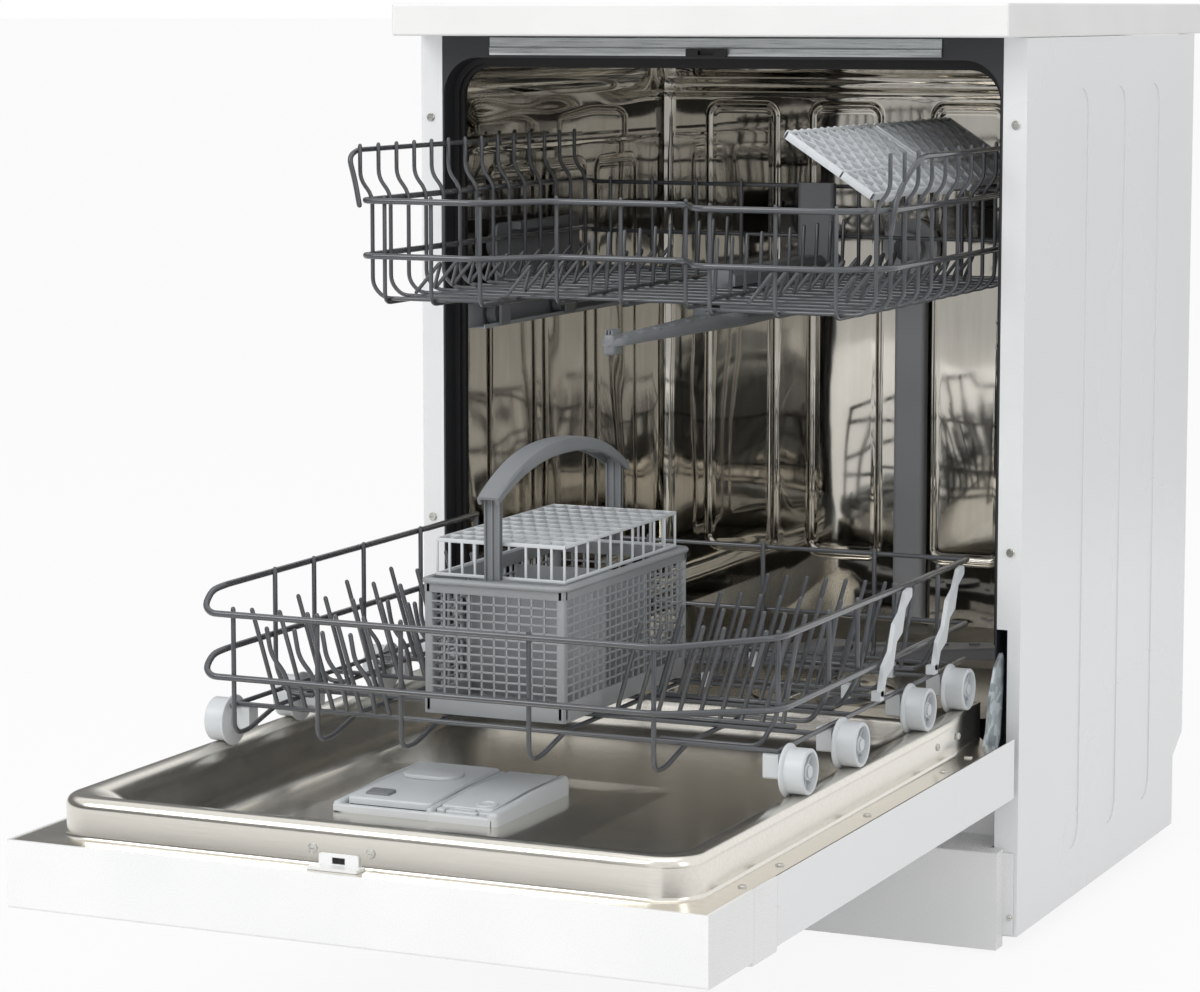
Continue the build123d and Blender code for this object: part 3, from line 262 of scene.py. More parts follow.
def mouldedPlastic(name, light, dark, roughness, grainMm, depthMm, **shader):
    # moulded plastic: a fine spark-eroded grain in the tool, and slow colour drift 110 mm wide from the melt's flow
    material, tree, surface, place = startMaterial(name, **shader)
    drift = addNode(tree, "TexNoise", {"Scale": 9.0, "Detail": 2.0}, {"Vector": place}).outputs[0]
    grain = addNode(tree, "TexNoise", {"Scale": 1000.0 / grainMm, "Detail": 2.0}, {"Vector": place}).outputs[0]
    bump = addNode(tree, "Bump", {"Strength": 0.35, "Distance": depthMm * 0.001}, {"Height": grain})
    dressSurface(tree, surface, drift, dark, light, (0.3, 0.7), grain, (roughness - 0.04, roughness + 0.05), bump)
    return material


def stovedEnamel(name, light, dark, roughness, **shader):
    # stoved enamel on sheet steel: a glossy film with orange peel about 3 mm wide and 0.2 mm deep
    material, tree, surface, place = startMaterial(name, **shader)
    drift = addNode(tree, "TexNoise", {"Scale": 3.0, "Detail": 3.0}, {"Vector": place}).outputs[0]
    peel = addNode(tree, "TexNoise", {"Scale": 330.0, "Detail": 1.0}, {"Vector": place}).outputs[0]
    bump = addNode(tree, "Bump", {"Strength": 0.12, "Distance": 0.0002}, {"Height": peel})
    dressSurface(tree, surface, drift, dark, light, (0.0, 1.0), drift, (roughness, roughness + 0.06), bump)
    return material


def rolledSteel(name, light, dark, roughness, spread, stretch, waveMm, waveDeepMm):
    # rolled stainless sheet: fine lines along the mill direction, and slow waves left by pressing
    material, tree, surface, place = startMaterial(name, Metallic=1.0)
    along = addNode(tree, "Mapping", {"Scale": stretch}, {"Vector": place}).outputs[0]
    lines = addNode(tree, "TexNoise", {"Scale": 40.0, "Detail": 4.0}, {"Vector": along}).outputs[0]
    wave = addNode(tree, "TexNoise", {"Scale": 1000.0 / waveMm, "Detail": 1.0}, {"Vector": place}).outputs[0]
    bump = addNode(tree, "Bump", {"Strength": 1.0, "Distance": waveDeepMm * 0.001}, {"Height": wave})
    dressSurface(tree, surface, lines, dark, light, (0.3, 0.7), lines, (roughness, roughness + spread), bump)
    return material


def zincCoat(name, light, dark):
    # hot-dip galvanised sheet: crystals 8 mm across, each a little lighter or bluer than the next
    material, tree, surface, place = startMaterial(name, Metallic=1.0)
    cells = addNode(tree, "TexVoronoi", {"Scale": 120.0}, {"Vector": place}).outputs["Color"]
    tone = addNode(tree, "SeparateColor", None, {"Color": cells})
    dressSurface(tree, surface, tone.outputs[0], dark, light, (0.0, 1.0), tone.outputs[1], (0.3, 0.5))
    return material


# name, light and dark shade, roughness, width and depth of the grain in mm, coat
plastics = {
    "white_worktop": ("laminated board, white", "#ebebea", "#e5e5e4", 0.38, 1.2, 0.05),
    "white_plastic": ("ABS, moulded, white", "#ebeceb", "#e6e7e7", 0.27, 1.0, 0.04),
    "base_plastic": ("polypropylene, moulded, dark grey", "#2f3235", "#26282b", 0.55, 0.8, 0.08),
    "black_plastic": ("polyamide, moulded, black", "#17181a", "#0f1011", 0.45, 0.8, 0.06),
    "seal_rubber": ("EPDM rubber, extruded", "#1d1d1e", "#121213", 0.62, 0.6, 0.05),
    "duct_plastic": ("polypropylene, moulded, slate", "#b4b7bb", "#a6a9ad", 0.42, 0.9, 0.06),
    "grey_plastic": ("polypropylene, moulded, mid grey", "#7c7f82", "#717477", 0.4, 0.9, 0.06),
    "light_grey_plastic": ("polypropylene, moulded, light grey", "#ced2d5", "#c4c8cb", 0.36, 0.9, 0.05),
    "basket_plastic": ("polypropylene, moulded, basket grey", "#94979a", "#8a8d90", 0.38, 0.9, 0.06),
    "coated_wire": ("nylon-coated steel wire", "#4e5155", "#43464a", 0.2, 1.6, 0.05),
}
# name, light and dark shade, roughness and its spread, stretch of the mill lines, width and depth of waves in mm
metals = {
    "trim_metal": ("brushed aluminium", "#c9cccd", "#a3a7a9", 0.25, 0.12, (0.6, 20.0, 20.0), 60.0, 0.05),
    "tub_steel": ("stainless steel, bright annealed", "#c2beb6", "#b8b4ab", 0.03, 0.03, (3.0, 3.0, 0.3), 60.0, 0.12),
    # the liner's shades are the steel's own colour lifted well above the tub's: painted light, standing in for the
    # light that the liner catches
    "liner_steel": ("stainless steel, cold rolled", "#e9e5dd", "#e0dcd3", 0.2, 0.03, (0.5, 12.0, 12.0), 130.0, 0.12),
    "screw_steel": ("zinc-plated screw steel", "#d3d2cd", "#b5b4af", 0.18, 0.1, (4.0, 4.0, 4.0), 9.0, 0.02),
}
coats = {"coated_wire": {"Coat Weight": 0.5}}
finishes = {slot: mouldedPlastic(*row, **coats.get(slot, {})) for slot, row in plastics.items()}
finishes.update({slot: rolledSteel(*row) for slot, row in metals.items()})
finishes["white_steel"] = stovedEnamel("enamelled steel, white", "#e9eaeb", "#e3e5e6", 0.24, **{"Coat Weight": 0.3})
finishes["dark_paint"] = stovedEnamel("enamelled steel, dark grey", "#303235", "#27292c", 0.42)
finishes["galvanised"] = zincCoat("galvanised steel", "#c3cbce", "#8d979c")
for entry in frame["record"]["subparts"]:
    cadPart = frame["nodes"][entry["node"]]
    cadPart.data.materials.clear()
    cadPart.data.materials.append(finishes[entry["material_slot"]])
print("materials made")


cameraData = bpy.data.cameras.new("camera")
cameraData.lens = 110.6
cameraData.sensor_width = 36.0
cameraData.shift_y = -0.055
cameraData.clip_end = 400.0
camera = bpy.data.objects.new("camera", cameraData)
camera.location = (1.2991, -3.0431, 0.8456)
camera.rotation_euler = (math.radians(90 - 6.53), 0.0, math.radians(24.36))
bpy.context.scene.collection.objects.link(camera)
bpy.context.scene.camera = camera
bpy.context.scene.view_settings.view_transform = "Standard"

# levels of the room's light, the floor's radius in m and the lamps' power in W
studio = {
    "frontLevel": 0.88,
    "rearLevel": 0.6,
    "frontGloss": 0.04,
    "floorWhite": 0.9,
    "floorRadius": 300.0,
    "keyPower": 50.0,
    "fillPower": 12.0,
    "topPower": 14.0,
    "lowPower": 20.0,
}


def aimLamp(name, place, target, size, power):
    # a rectangular lamp turned so that it faces its target
    lampData = bpy.data.lights.new(name, "AREA")
    lampData.shape = "RECTANGLE"
    lampData.size, lampData.size_y = size
    lampData.energy = power
    lamp = bpy.data.objects.new(name, lampData)
    lamp.location = place
    x, y, z = np.array(target) - np.array(place)
    lamp.rotation_euler = (math.atan2(math.hypot(x, y), -z), 0.0, math.atan2(-x, y))
    bpy.context.scene.collection.objects.link(lamp)
    return lamp


aimLamp("keyLamp", (-2.0, -3.2, 3.1), (0.0, 0.0, 0.4), (1.6, 2.2), studio["keyPower"])
aimLamp("fillLamp", (3.4, -1.4, 2.2), (0.0, 0.1, 0.4), (1.2, 2.4), studio["fillPower"])
aimLamp("topLamp", (0.2, -0.6, 3.6), (0.0, -0.1, 0.4), (2.4, 2.4), studio["topPower"])
lowLamp = aimLamp("lowLamp", (-0.3, -4.2, 0.5), (0.0, -0.2, 0.2), (3.0, 0.9), studio["lowPower"])
lowLamp.visible_glossy = False

world = bpy.data.worlds.new("studio")
bpy.context.scene.world = world
world.use_nodes = True
sky = world.node_tree
sky.nodes.clear()
direction = addNode(sky, "TexCoord").outputs["Generated"]
axes = addNode(sky, "SeparateXYZ", None, {"Vector": direction})
across = addNode(sky, "Math", {"operation": "DIVIDE"}, {0: axes.outputs[0], 1: axes.outputs[1]})
level = {"x": axes.outputs[0], "y": axes.outputs[1], "z": axes.outputs[2], "across": across.outputs[0]}
# each ramp reads a direction, from one place to another, and gives a level at both
ramps = {
    # metals see a white room behind and beside the machine and a dim one in front of it
    "depthwise": ("y", -0.75, 0.1, studio["frontGloss"], 1.0),
    # a white card stands in front, from x / y = -0.3 to 0.37, and its edge shows in the tub's rear wall
    "cardLeft": ("across", 0.365, 0.385, 0.9, 0.0),
    "cardRight": ("across", -0.32, -0.28, 0.0, 1.0),
    "inFront": ("y", -0.5, -0.3, 1.0, 0.0),
    # a dark curtain hangs behind on the left, and the liner's left half mirrors it
    "curtainSide": ("x", -0.5, -0.2, 0.2, 1.0),
    "curtainTop": ("z", 0.35, 0.6, 0.0, 1.0),
    # above the horizon the front wall is pale too, which only rays that climb off the liner see
    "paleWall": ("z", 0.05, 0.16, 0.0, 0.9),
    # matt surfaces see a room that is brighter in front than behind
    "roomDepth": ("y", -0.7, 0.6, studio["frontLevel"], studio["rearLevel"]),
}
for name, (source, start, end, first, last) in ramps.items():
    settings = {"From Min": start, "From Max": end, "To Min": first, "To Max": last}
    level[name] = addNode(sky, "MapRange", settings, {"Value": level[source]}).outputs[0]
for name, operation, first, second in (
        ("cardWide", "MULTIPLY", "cardLeft", "cardRight"), ("card", "MULTIPLY", "cardWide", "inFront"),
        ("curtain", "MAXIMUM", "curtainSide", "curtainTop"), ("roomDeep", "MAXIMUM", "depthwise", "paleWall"),
        ("room", "MULTIPLY", "roomDeep", "curtain"), ("glossLevel", "MAXIMUM", "room", "card")):
    level[name] = addNode(sky, "Math", {"operation": operation}, {0: level[first], 1: level[second]}).outputs[0]
lightPath = addNode(sky, "LightPath").outputs
glossRay = addNode(sky, "Math", {"operation": "MAXIMUM"}, {0: lightPath["Is Glossy Ray"],
                                                          1: lightPath["Is Transmission Ray"]})
roomLight = addNode(sky, "Background", {"Color": (1, 1, 1, 1)}, {"Strength": level["roomDepth"]})
roomGloss = addNode(sky, "Background", {"Color": (1, 1, 1, 1)}, {"Strength": level["glossLevel"]})
roomWhite = addNode(sky, "Background", {"Color": (1, 1, 1, 1), "Strength": 1.0})
forMetal = addNode(sky, "MixShader", None, {0: glossRay.outputs[0], 1: roomLight.outputs[0],
                                           2: roomGloss.outputs[0]})
forEye = addNode(sky, "MixShader", None, {0: lightPath["Is Camera Ray"], 1: forMetal.outputs[0],
                                         2: roomWhite.outputs[0]})
addNode(sky, "OutputWorld", None, {"Surface": forEye.outputs[0]})

floorMesh = bpy.data.meshes.new("floor")
w = np.linspace(0, 2 * np.pi, 64, endpoint=False)
floorEdge = np.stack([studio["floorRadius"] * np.cos(w), studio["floorRadius"] * np.sin(w), 0 * w - 0.0005], -1)
floorMesh.from_pydata(floorEdge.tolist(), [], [list(range(64))])
floor = bpy.data.objects.new("floor", floorMesh)
bpy.context.scene.collection.objects.link(floor)
# matt floor paint, white: it hardly mirrors
floorMaterial, floorTree, floorSurface, floorPlace = startMaterial("floor paint, white", Roughness=0.9)
floorSurface.inputs["Base Color"].default_value = (0.82, 0.82, 0.82, 1.0)
floorSurface.inputs["Specular IOR Level"].default_value = 0.1
floorPath = addNode(floorTree, "LightPath").outputs
floorGlow = addNode(floorTree, "Emission", {"Color": (1, 1, 1, 1), "Strength": 1.0})
# metals mirror white paper that ends 2.4 m away, and a dark floor beyond it
away = addNode(floorTree, "VectorMath", {"operation": "LENGTH"}, {0: floorPlace})
paper = addNode(floorTree, "MapRange", {"From Min": 2.4, "From Max": 3.6, "To Min": 1.0, "To Max": 0.15},
                {"Value": away.outputs["Value"]})
mirrored = addNode(floorTree, "Math", {"operation": "MULTIPLY"}, {0: floorPath["Is Glossy Ray"],
                                                                  1: paper.outputs[0]})
seen = addNode(floorTree, "Math", {"operation": "MAXIMUM"}, {0: floorPath["Is Camera Ray"],
                                                             1: mirrored.outputs[0]})
share = addNode(floorTree, "Math", {"operation": "MULTIPLY", 1: studio["floorWhite"]}, {0: seen.outputs[0]})
blend = addNode(floorTree, "MixShader", None, {0: share.outputs[0], 1: floorSurface.outputs[0],
                                              2: floorGlow.outputs[0]})
floorEnd = [node for node in floorTree.nodes if node.bl_idname == "ShaderNodeOutputMaterial"][0]
floorTree.links.new(blend.outputs[0], floorEnd.inputs["Surface"])
floorMesh.materials.append(floorMaterial)
print("camera and studio set")


def smoothStep(value, low, high):
    t = np.clip((value - low) / (high - low), 0, 1)
    return t * t * (3 - 2 * t)


def lines(low, high, coarse, edges, fine, before=14.0, after=14.0):
    # grid lines at a coarse pitch, and at a fine one round each pressed edge
    places = [np.linspace(low, high, max(2, int(round((high - low) / coarse)) + 1))]
    for edge in edges:
        places.append(np.arange(edge - before, edge + after, fine))
    every = np.unique(np.round(np.concatenate(places), 2))
    return every[(every >= low) & (every <= high)]


def outlineGap(u, v, u0, u1, v0, v1, corner):
    # signed distance to a rounded rectangle: |max(q, 0)| + min(max(qu, qv), 0) - corner, below zero inside
    qu = np.abs(u - (u0 + u1) / 2) - (u1 - u0) / 2 + corner
    qv = np.abs(v - (v0 + v1) / 2) - (v1 - v0) / 2 + corner
    return np.hypot(np.maximum(qu, 0), np.maximum(qv, 0)) + np.minimum(np.maximum(qu, qv), 0) - corner


def bead(gap, wide, high):
    # a pressed bead, h exp(-(d / w)^2), along an outline
    return high * np.exp(-(gap / wide) ** 2)


def sheet(front, back):
    # a closed skin between two grids of points, with its four edges walled
    rows, columns = front.shape[:2]
    count = rows * columns
    index = np.arange(count).reshape(rows, columns)
    rim = np.concatenate([index[0, :], index[1:, -1], index[-1, -2::-1], index[-2:0:-1, 0]])
    there = np.roll(rim, -1)
    faces = gridFaces(rows, columns)
    faces += [[corner + count for corner in face[::-1]] for face in gridFaces(rows, columns)]
    faces += np.stack([there, rim, rim + count, there + count], -1).tolist()
    return np.vstack([front.reshape(-1, 3), back.reshape(-1, 3)]), faces


tubSizes = {
    "half": 276.0, "top": 792.0, "corner": 33.0, "ledgeHalf": 257.0, "ledge": 228.0, "low": 170.0, "front": 44.0,
    "back": 528.0, "gauge": 0.8, "panelLow": 268.0, "panelHigh": 744.0, "panelCorner": 13.0,
    "rearPanels": ((-224.0, -147.0), (-106.0, -29.0), (30.0, 107.0), (148.0, 225.0)),
    "sidePanels": ((96.0, 196.0), (222.0, 322.0), (348.0, 448.0)), "sideHigh": 690.0, "sideStep": 712.0,
    "rearSteps": ((757.0, 3.6, 1.8), (772.0, 4.5, 2.2)), "rearMiddle": 764.0,
    "roofBeads": (108.0, 150.0, 420.0), "deepest": 3.1,
}


def tubRear(s):
    # the rear wall y = back - d(x, z): beads round four panels, two level steps over them and slow waves
    xEdges = [edge for panel in s["rearPanels"] for edge in panel]
    x = lines(-s["half"] + 0.5, s["half"] - 0.5, 7.0, xEdges, 1.1)
    z = lines(s["low"] + 0.5, s["top"] - 0.5, 9.0, (s["panelLow"], s["panelHigh"], s["rearMiddle"]), 1.1,
              after=16.0)
    x, z = np.meshgrid(x, z)
    d = np.zeros_like(x)
    for x0, x1 in s["rearPanels"]:
        gap = outlineGap(x, z, x0, x1, s["panelLow"], s["panelHigh"], s["panelCorner"])
        d += bead(gap, 2.4, 1.7) + 0.5 * smoothStep(-gap, 2.0, 9.0)
    for height, wide, high in s["rearSteps"]:
        d += bead(z - height, wide, high)
    low = 1.0 + 1.8 * (1 - smoothStep(z, 260.0, 470.0))
    d += low * (0.34 * np.sin(x / 24.0 + 1.4 * np.sin(z / 71.0)) + 0.3 * np.sin(z / 43.0 + x / 77.0 + 2.0)) * 0.55
    # the wall meets its neighbours in a roll
    d += 3.0 * (1 - smoothStep(s["half"] - np.abs(x), 0.0, 12.0)) ** 2
    d = np.clip(d, 0.0, s["deepest"])
    front = np.stack([x, s["back"] - d, z], -1)
    back = np.stack([x, np.full_like(x, s["back"] + s["gauge"]), z], -1)
    return [sheet(front, back)]


def tubWrap(s):
    # the section (x, z) runs up the right wall, over the roof and down the left wall, and is carried along y
    half, top, corner, ledge = s["half"], s["top"], s["corner"], s["ledge"]
    w = np.linspace(0, np.pi / 2, 12)[1:-1]
    wall = lines(ledge + 3, top - corner, 12.0, (s["panelLow"], s["sideHigh"], s["sideStep"]), 1.6)
    roof = np.linspace(half - corner, 0, 26)
    step = s["ledgeHalf"]
    foot = np.array([(step, s["low"]), (step, 198), (step, 216), (step, ledge - 2.5), (step + 0.9, ledge - 0.7),
                     (step + 2.6, ledge), (half - 4, ledge), (half - 1.2, ledge + 0.9)])
    arc = np.stack([half - corner + corner * np.cos(w), top - corner + corner * np.sin(w)], -1)
    right = np.vstack([foot, np.stack([np.full_like(wall, half), wall], -1), arc,
                       np.stack([roof, np.full_like(roof, top)], -1)])
    path = np.vstack([right, (right * [-1, 1])[-2::-1]])
    tangent = unit(np.gradient(path, axis=0))
    inX = -tangent[None, :, 1]
    inZ = tangent[None, :, 0]
    edges = [edge for panel in s["sidePanels"] for edge in panel]
    y = lines(s["front"] + 0.3, s["back"] - 0.2, 9.0, edges, 1.3)[:, None]
    x = path[None, :, 0]
    z = path[None, :, 1]
    onWall = (np.abs(x) > half - 0.5) & (z > ledge + 2) & (z < top - corner + 0.1)
    d = 0.0 * y * x
    for y0, y1 in s["sidePanels"]:
        gap = outlineGap(y, z, y0, y1, s["panelLow"], s["sideHigh"], s["panelCorner"])
        d += bead(gap, 2.8, 1.7) + 0.4 * smoothStep(-gap, 2.0, 9.0)
    d += 1.7 * smoothStep(z, s["sideStep"] - 6, s["sideStep"] + 6) + bead(z - s["sideStep"], 4.0, 0.8)
    d += 0.45 * np.sin(y / 27.0 + 1.5 * np.sin(z / 66.0)) + 0.35 * np.sin(z / 39.0 + y / 88.0)
    fade = smoothStep(z, ledge + 3, ledge + 30) * (1 - smoothStep(z, top - 57, top - 35))
    fade = fade * smoothStep(y, s["front"], s["front"] + 22) * (1 - smoothStep(y, s["back"] - 22, s["back"] - 2))
    d = np.where(onWall, np.clip(d, 0.0, s["deepest"]) * fade, 0.0)
    overhead = (z > top - 0.1) & (np.abs(x) < half - corner)
    ridges = sum(bead(y - place, 6.0, 2.6) for place in s["roofBeads"])
    d = d + np.where(overhead, ridges * smoothStep(half - 46 - np.abs(x), 0.0, 24.0), 0.0)
    front = np.stack([x + d * inX, y + 0 * x, z + d * inZ], -1)
    back = np.stack([x - s["gauge"] * inX + 0 * y, y + 0 * x, z - s["gauge"] * inZ + 0 * y], -1)
    return [sheet(front, back)]


addPiece("tubRearPressing", tubRear(tubSizes), "tub_steel", "cabinet", ("tub_back",), 50.0)
addPiece("tubWrapPressing", tubWrap(tubSizes), "tub_steel", "cabinet", ("tub_wrap",), 50.0)
print("tub made")


# the door's liner, pressed from one sheet

linerSizes = {
    "flangeHalf": 296.2, "flangeFront": -718.6, "rear": -14.0, "flangeTop": 195.6,
    "half": 274.0, "front": -698.0, "corner": 34.0, "rim": 228.0, "rimSoft": 8.0,
    "innerHalf": 258.0, "innerFront": -682.0, "innerRear": -34.0, "innerCorner": 26.0,
    "floorHalf": 214.0, "floorFront": -628.0, "floorRear": -84.0, "floorCorner": 44.0, "floor": 186.0,
    "drainHalf": 256.0, "drainFront": -60.0, "drain": 214.0,
    "fieldFoot": (-196.0, 92.0, -622.0, -286.0), "fieldTop": (-148.0, 46.0, -566.0, -345.0), "fieldHigh": 5.0,
    "hingeHalf": 267.0, "hingeFront": -62.0,
}


def linerSurface(s):
    # one loop of the plan carried through levels (half width, front, corner radius, height) from flange to floor
    w = np.linspace(0, np.pi / 2, 7)
    soft = s["rimSoft"]
    levels = [(s["flangeHalf"], s["flangeFront"], 3.0, s["flangeTop"] - 1.0),
              (s["flangeHalf"], s["flangeFront"], 3.0, s["flangeTop"])]
    for grow, lift in ((3.4, 0.0), (1.6, 0.4), (0.5, 1.5), (0.0, 3.4)):
        levels.append((s["half"] + grow, s["front"] - grow, s["corner"] + grow, s["flangeTop"] + lift))
    for inset, lift in zip(soft * (1 - np.cos(w)), soft * np.sin(w)):
        levels.append((s["half"] - inset, s["front"] + inset, s["corner"] - inset, s["rim"] - soft + lift))
    rearAt = [s["rear"]] * len(levels)
    # the inner wall falls along s - sin(2 pi s) / 2 pi, so both its ends are rolled
    share = np.linspace(0, 1, 16)
    fall = 0.45 * share + 0.55 * (share - np.sin(2 * np.pi * share) / (2 * np.pi))
    for part, f in zip(share, fall):
        levels.append((s["innerHalf"] - (s["innerHalf"] - s["floorHalf"]) * part,
                       s["innerFront"] + (s["floorFront"] - s["innerFront"]) * part,
                       s["innerCorner"] + (s["floorCorner"] - s["innerCorner"]) * part,
                       s["rim"] - (s["rim"] - s["floor"]) * f))
    rearAt += list(s["innerRear"] + (s["floorRear"] - s["innerRear"]) * share)
    loops = []
    for (half, front, corner, z), rear in zip(levels, rearAt):
        rearCorner = 0.6 if rear > s["rear"] - 6 else corner
        loops.append(atHeight(loopOutline(-half, half, front, rear, corner, rearCorner, 12, 14), z))
    grid = np.array(loops)
    # the rear rim is cut down to the drain lip between the side rims
    low = (np.abs(grid[..., 0]) < s["drainHalf"] + 1) & (grid[..., 1] > s["drainFront"])
    grid[..., 2] = np.where(low, np.minimum(grid[..., 2], s["drain"]), grid[..., 2])
    # the flange stops short of the hinge arms
    hinge = (np.abs(grid[..., 0]) > s["hingeHalf"]) & (grid[..., 1] > s["hingeFront"])
    grid[..., 0] = np.where(hinge, np.sign(grid[..., 0]) * s["hingeHalf"], grid[..., 0])
    outer = (grid.reshape(-1, 3), gridFaces(*grid.shape[:2], closeColumns=True))
    # the floor is its own sheet: the last loop drawn in towards the middle line
    edge = grid[-1]
    middle = np.column_stack([edge[:, 0] * 0.0, np.clip(edge[:, 1], -500, -200), edge[:, 2]])
    steps = np.linspace(0, 1, 26)[:, None, None]
    floorGrid = edge[None] * (1 - steps) + middle[None] * steps
    inner = (floorGrid.reshape(-1, 3), gridFaces(*floorGrid.shape[:2], closeColumns=True))
    return [outer, inner, pressedField(s)]


def pressedField(s):
    # a raised field with straight ramps: the plan (x0, x1, y0, y1) slides from its foot to its top while z rises
    foot = np.array(s["fieldFoot"])
    top = np.array(s["fieldTop"])
    w = (-0.004, 0.0, 0.05, 0.12, 0.3, 0.6, 0.88, 0.95, 1.0, 1.004)
    rise = (-0.3, -0.02, 0.015, 0.08, 0.28, 0.62, 0.92, 0.985, 1.0, 1.0)
    loops = []
    for share, lift in zip(w, rise):
        corner = 26.0 - 18.0 * share
        loop = loopOutline(*(foot + (top - foot) * share), corner, corner, 10, 14)
        loops.append(atHeight(loop, s["floor"] + s["fieldHigh"] * lift))
    points, faces = capped(loops)
    # its foot stays open, under the floor
    del faces[-2]
    return points, faces


addPiece("linerPressing", linerSurface(linerSizes), "liner_steel", "door", ("door_liner",), 50.0)
print("door liner made")


def bent(points, bend, radius, sides=10):
    # a wire along corner points that are rounded off
    return wire(roundPath(points, bend), radius, sides)


lowerRack = {
    "half": 245.0, "front": -502.0, "rear": 5.0, "frontRim": 347.0, "leftRim": 366.0, "rightRim": 352.0,
    "middle": 294.0, "grid": 262.0, "low": 246.0, "thick": 2.8, "thin": 2.1, "tineGauge": 2.0,
    "cornerX": 168.0, "cornerY": -446.0, "bend": 14.0, "sideBend": 9.0, "tineTop": 343.0,
    "footX": (-222.0, -143.0, -66.0, 49.0, 158.0), "leftY": (-394.0, -325.0, -233.0, -121.5),
    "rightY": (-440.0, -327.0, -260.0, -170.0, -57.0), "crossY": (-452.0, -372.0, -284.0, -200.0, -90.0, -24.0),
    "tineY": (-452.0, -372.0, -284.0, -200.0, -90.0), "bentY": (-452.0, -284.0, -90.0), "rowY": (-372.0, -284.0),
    "tineX": -206.0, "tinePitch": 26.5, "tineCount": 5, "rowX": 70.0, "rowPitch": 18.5, "rowCount": 9,
    "rowLeft": 66.0, "rowRight": 228.0, "rowTop": 342.0, "foldRowZ": 266.7, "sideEnds": (-205.0, 140.0),
}


def lowerWires(r):
    # each wire is its corner points, rounded and given its gauge
    left, right, front, rear = -r["half"], r["half"], r["front"], r["rear"]
    grid, low, thin = r["grid"], r["low"], r["thin"]
    wires = []
    for frontZ, leftZ, rightZ in ((r["frontRim"], r["leftRim"], r["rightRim"]),
                                  (r["middle"], r["middle"] + 18, r["middle"])):
        points = ((left, rear, leftZ), (left, front + 32, leftZ), (left - 5, front + 18, leftZ - 3),
                  (left - 5, front + 7, frontZ + 5), (left + 4, front, frontZ), (r["cornerX"], front, frontZ),
                  (right, r["cornerY"], rightZ), (right, rear, rightZ))
        wires.append(bent(points, r["bend"], r["thick"], 12))
        wires.append(straight((left, rear + 4.6, rightZ), (right, rear + 4.6, rightZ), thin))
        wires.append(straight((left, rear, leftZ - 1), (left, rear, grid), thin))
    wires.append(straight((left, rear, grid), (left, front + 40, grid), thin))
    wires.append(straight((right, rear, grid), (right, r["cornerY"] - 4, grid), thin))
    for x in r["footX"]:
        y = front + 4.7
        points = ((x, y, r["frontRim"] + 4), (x, y, low + 6), (x, y + 8, low), (x, y + 24, low),
                  (x, y + 70, grid - 4.2), (x, rear, grid - 4.2), (x, rear, r["rightRim"] + 4))
        wires.append(bent(points, r["sideBend"], thin))
    leftEnd, rightEnd = r["sideEnds"]
    for places, x, foot, rim, lift, end in ((r["leftY"], left + 4.7, left + 16, r["leftRim"], 22, leftEnd),
                                            (r["rightY"], right - 4.7, right - 20, r["rightRim"], 26, rightEnd)):
        for y in places:
            points = ((x, y, rim + 3), (x, y, grid + lift), (foot, y, grid), (end, y, grid))
            wires.append(bent(points, r["sideBend"], thin))
    wires += [straight((left, y, grid), (right, y, grid), thin) for y in r["crossY"]]
    # straight tines and the bent ones between them on the left half
    for y in r["tineY"]:
        for x in r["tineX"] + r["tinePitch"] * np.arange(r["tineCount"]):
            wires.append(straight((x, y, grid + 1), (x - 24, y, r["tineTop"]), r["tineGauge"]))
            if x < -110 and y in r["bentY"]:
                points = ((x + 13, y, grid + 1), (x + 8, y, grid + 28), (x - 6, y, grid + 44),
                          (x - 10, y, grid + 66))
                wires.append(bent(points, 8.0, r["tineGauge"]))
    for y in r["rowY"]:
        wires += tineRow(y, grid + 4.2, r)
    return wires


def tineRow(y, low, r):
    # a bar with tines a pitch apart that lean to the right, as far as the rack's side wires
    row = [straight((r["rowLeft"], y, low), (r["rowRight"], y, low), r["thin"])]
    for x in r["rowX"] + r["rowPitch"] * np.arange(r["rowCount"]):
        row.append(straight((x, y, low), (min(x + 22, r["rowRight"] + 2), y, r["rowTop"]), r["tineGauge"]))
    return row


addPiece("lowerRackWires", lowerWires(lowerRack), "coated_wire", "lower_rack", ("lower_rack_frame", "fixed_tines"),
         60.0)
for place, y in zip(("Front", "Rear"), lowerRack["tineY"][-2:]):
    row = "row_" + place.lower()
    addPiece("foldingTines" + place, tineRow(y, lowerRack["foldRowZ"], lowerRack), "coated_wire", "fold_" + row,
             ("tine_" + row,), 60.0)
print("lower rack made")


upperRack = {
    "half": 250.0, "lowerHalf": 238.0, "front": -228.0, "setback": -172.0, "rear": 265.0, "rim": 720.0,
    "railHigh": 676.0, "railLow": 627.0, "bottom": 589.0, "pitch": 35.0, "thick": 2.8, "rimGauge": 2.4,
    "crossGauge": 2.1, "sideGauge": 1.9, "tineGauge": 1.8, "waveGauge": 1.7, "sideBend": 8.0,
    "longX": (-222.0, -176.0, -128.0, -80.0, -18.0, 44.0, 90.0, 150.0, 205.0), "tineX": (-60.0, 60.0),
    "waveX": (-200.0, -110.0, 120.0, 196.0), "bayX": (-125.0, -84.0, 48.0, 78.0, 200.0), "curlLow": 692.0,
    "curlHigh": 714.0, "neckHigh": 694.0, "neckLow": 680.0, "neckFoot": 600.0, "tineTop": 644.0, "waveTop": 620.0,
    "sideCount": 14, "stubEnds": (-130.0, 84.0),
}


